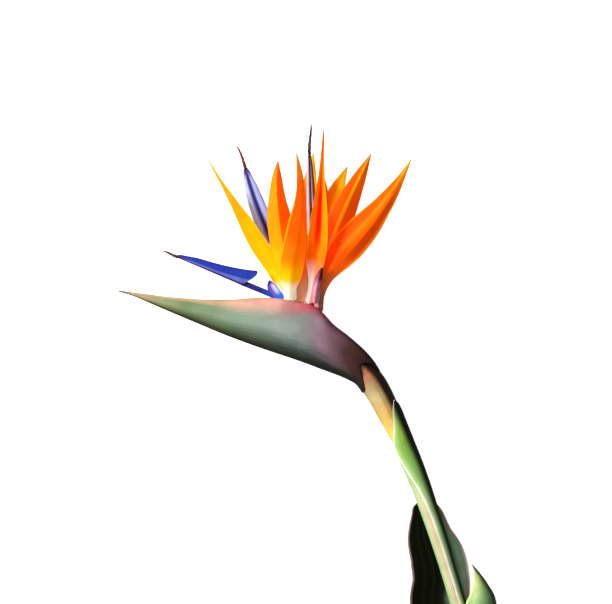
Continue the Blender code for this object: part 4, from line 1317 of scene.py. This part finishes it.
def fibre_skin():
    t = Tissue("cut_fibre_skin", rough=0.7)
    b = t.b
    pith = b.cloud(b.own_place(), 1400.0)
    return t.finish(b.mix(pith, rgb((238, 236, 190)), rgb((170, 176, 110))), pith, 0.4, 0.0002)


FIBRES, FIBRE_IDS = make_fibre_tree()
end, _, _, forward = frame_on(stem_path, 0.0)
fibres = grow("cut_end_fibres", FIBRES, FIBRE_IDS, {
    "Centre": place(end), "Facing": -forward, "Tissue": fibre_skin()})
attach(fibres, "root")


# ======================================================================================
# Floor, light and camera
# ======================================================================================
def floor_skin():
    mat = bpy.data.materials.new("pale_floor")
    mat.use_nodes = True
    shader = mat.node_tree.nodes["Principled BSDF"]
    shader.inputs["Base Color"].default_value = (0.86, 0.86, 0.86, 1)
    shader.inputs["Roughness"].default_value = 0.9
    shader.inputs["Specular IOR Level"].default_value = 0.1
    shader.inputs["Emission Color"].default_value = (1, 1, 1, 1)
    shader.inputs["Emission Strength"].default_value = 0.86
    return mat


FLOOR_HALF = 6
FLOOR_DROP = 0.0004
ground = bpy.data.meshes.new("floor")
ground.from_pydata([(x * FLOOR_HALF, y * FLOOR_HALF, 0)
                    for x, y in ((-1, -1), (1, -1), (1, 1), (-1, 1))], [], [(0, 1, 2, 3)])
ground.materials.append(floor_skin())
floor = bpy.data.objects.new("floor", ground)
floor.location.z = -FLOOR_DROP
bpy.context.scene.collection.objects.link(floor)
floor.visible_diffuse = False
floor.visible_glossy = False

world = bpy.data.worlds.new("studio")
bpy.context.scene.world = world
world.use_nodes = True
wb = Bench(world.node_tree)
back = world.node_tree.nodes["Background"]
ray = wb.new("ShaderNodeLightPath")
back.inputs["Color"].default_value = (1, 1, 1, 1)
AIR_SEEN, AIR_LIGHT = 0.82, 0.16
wb.put(back.inputs["Strength"],
       wb.math("MULTIPLY_ADD", ray.outputs["Is Camera Ray"], AIR_SEEN, AIR_LIGHT))


def lamp(name, at, size, power):
    """Round soft lamp that looks at the middle of the flower."""
    data = bpy.data.lights.new(name, "AREA")
    data.shape, data.size, data.energy = "DISK", size, power
    obj = bpy.data.objects.new(name, data)
    obj.location = at
    obj.rotation_mode = "QUATERNION"
    obj.rotation_quaternion = (-Vector(at)).to_track_quat("-Z", "Y")
    bpy.context.scene.collection.objects.link(obj)


lamp("key", (-1.20, 0.45, 0.86), 0.55, 34.0)
lamp("top", (-0.25, 0.45, 1.5), 1.2, 7.0)

camera = bpy.data.objects.new("camera", bpy.data.cameras.new("camera"))
bpy.context.scene.collection.objects.link(camera)
bpy.context.scene.camera = camera
VIEW_WIDE = 0.3856
VIEW_FAR = 1.6
VIEW_CENTRE = (1.9, 1.3, MID)
SENSOR = 36.0
camera.data.sensor_width = SENSOR
camera.data.lens = SENSOR * VIEW_FAR / VIEW_WIDE
centre = place(VIEW_CENTRE)
camera.location = (centre.x, centre.y, centre.z + VIEW_FAR)
camera.rotation_mode = "QUATERNION"
camera.rotation_quaternion = (1, 0, 0, 0)
camera.data.clip_start, camera.data.clip_end = 0.05, 50.0
bpy.context.scene.view_settings.view_transform = "Standard"
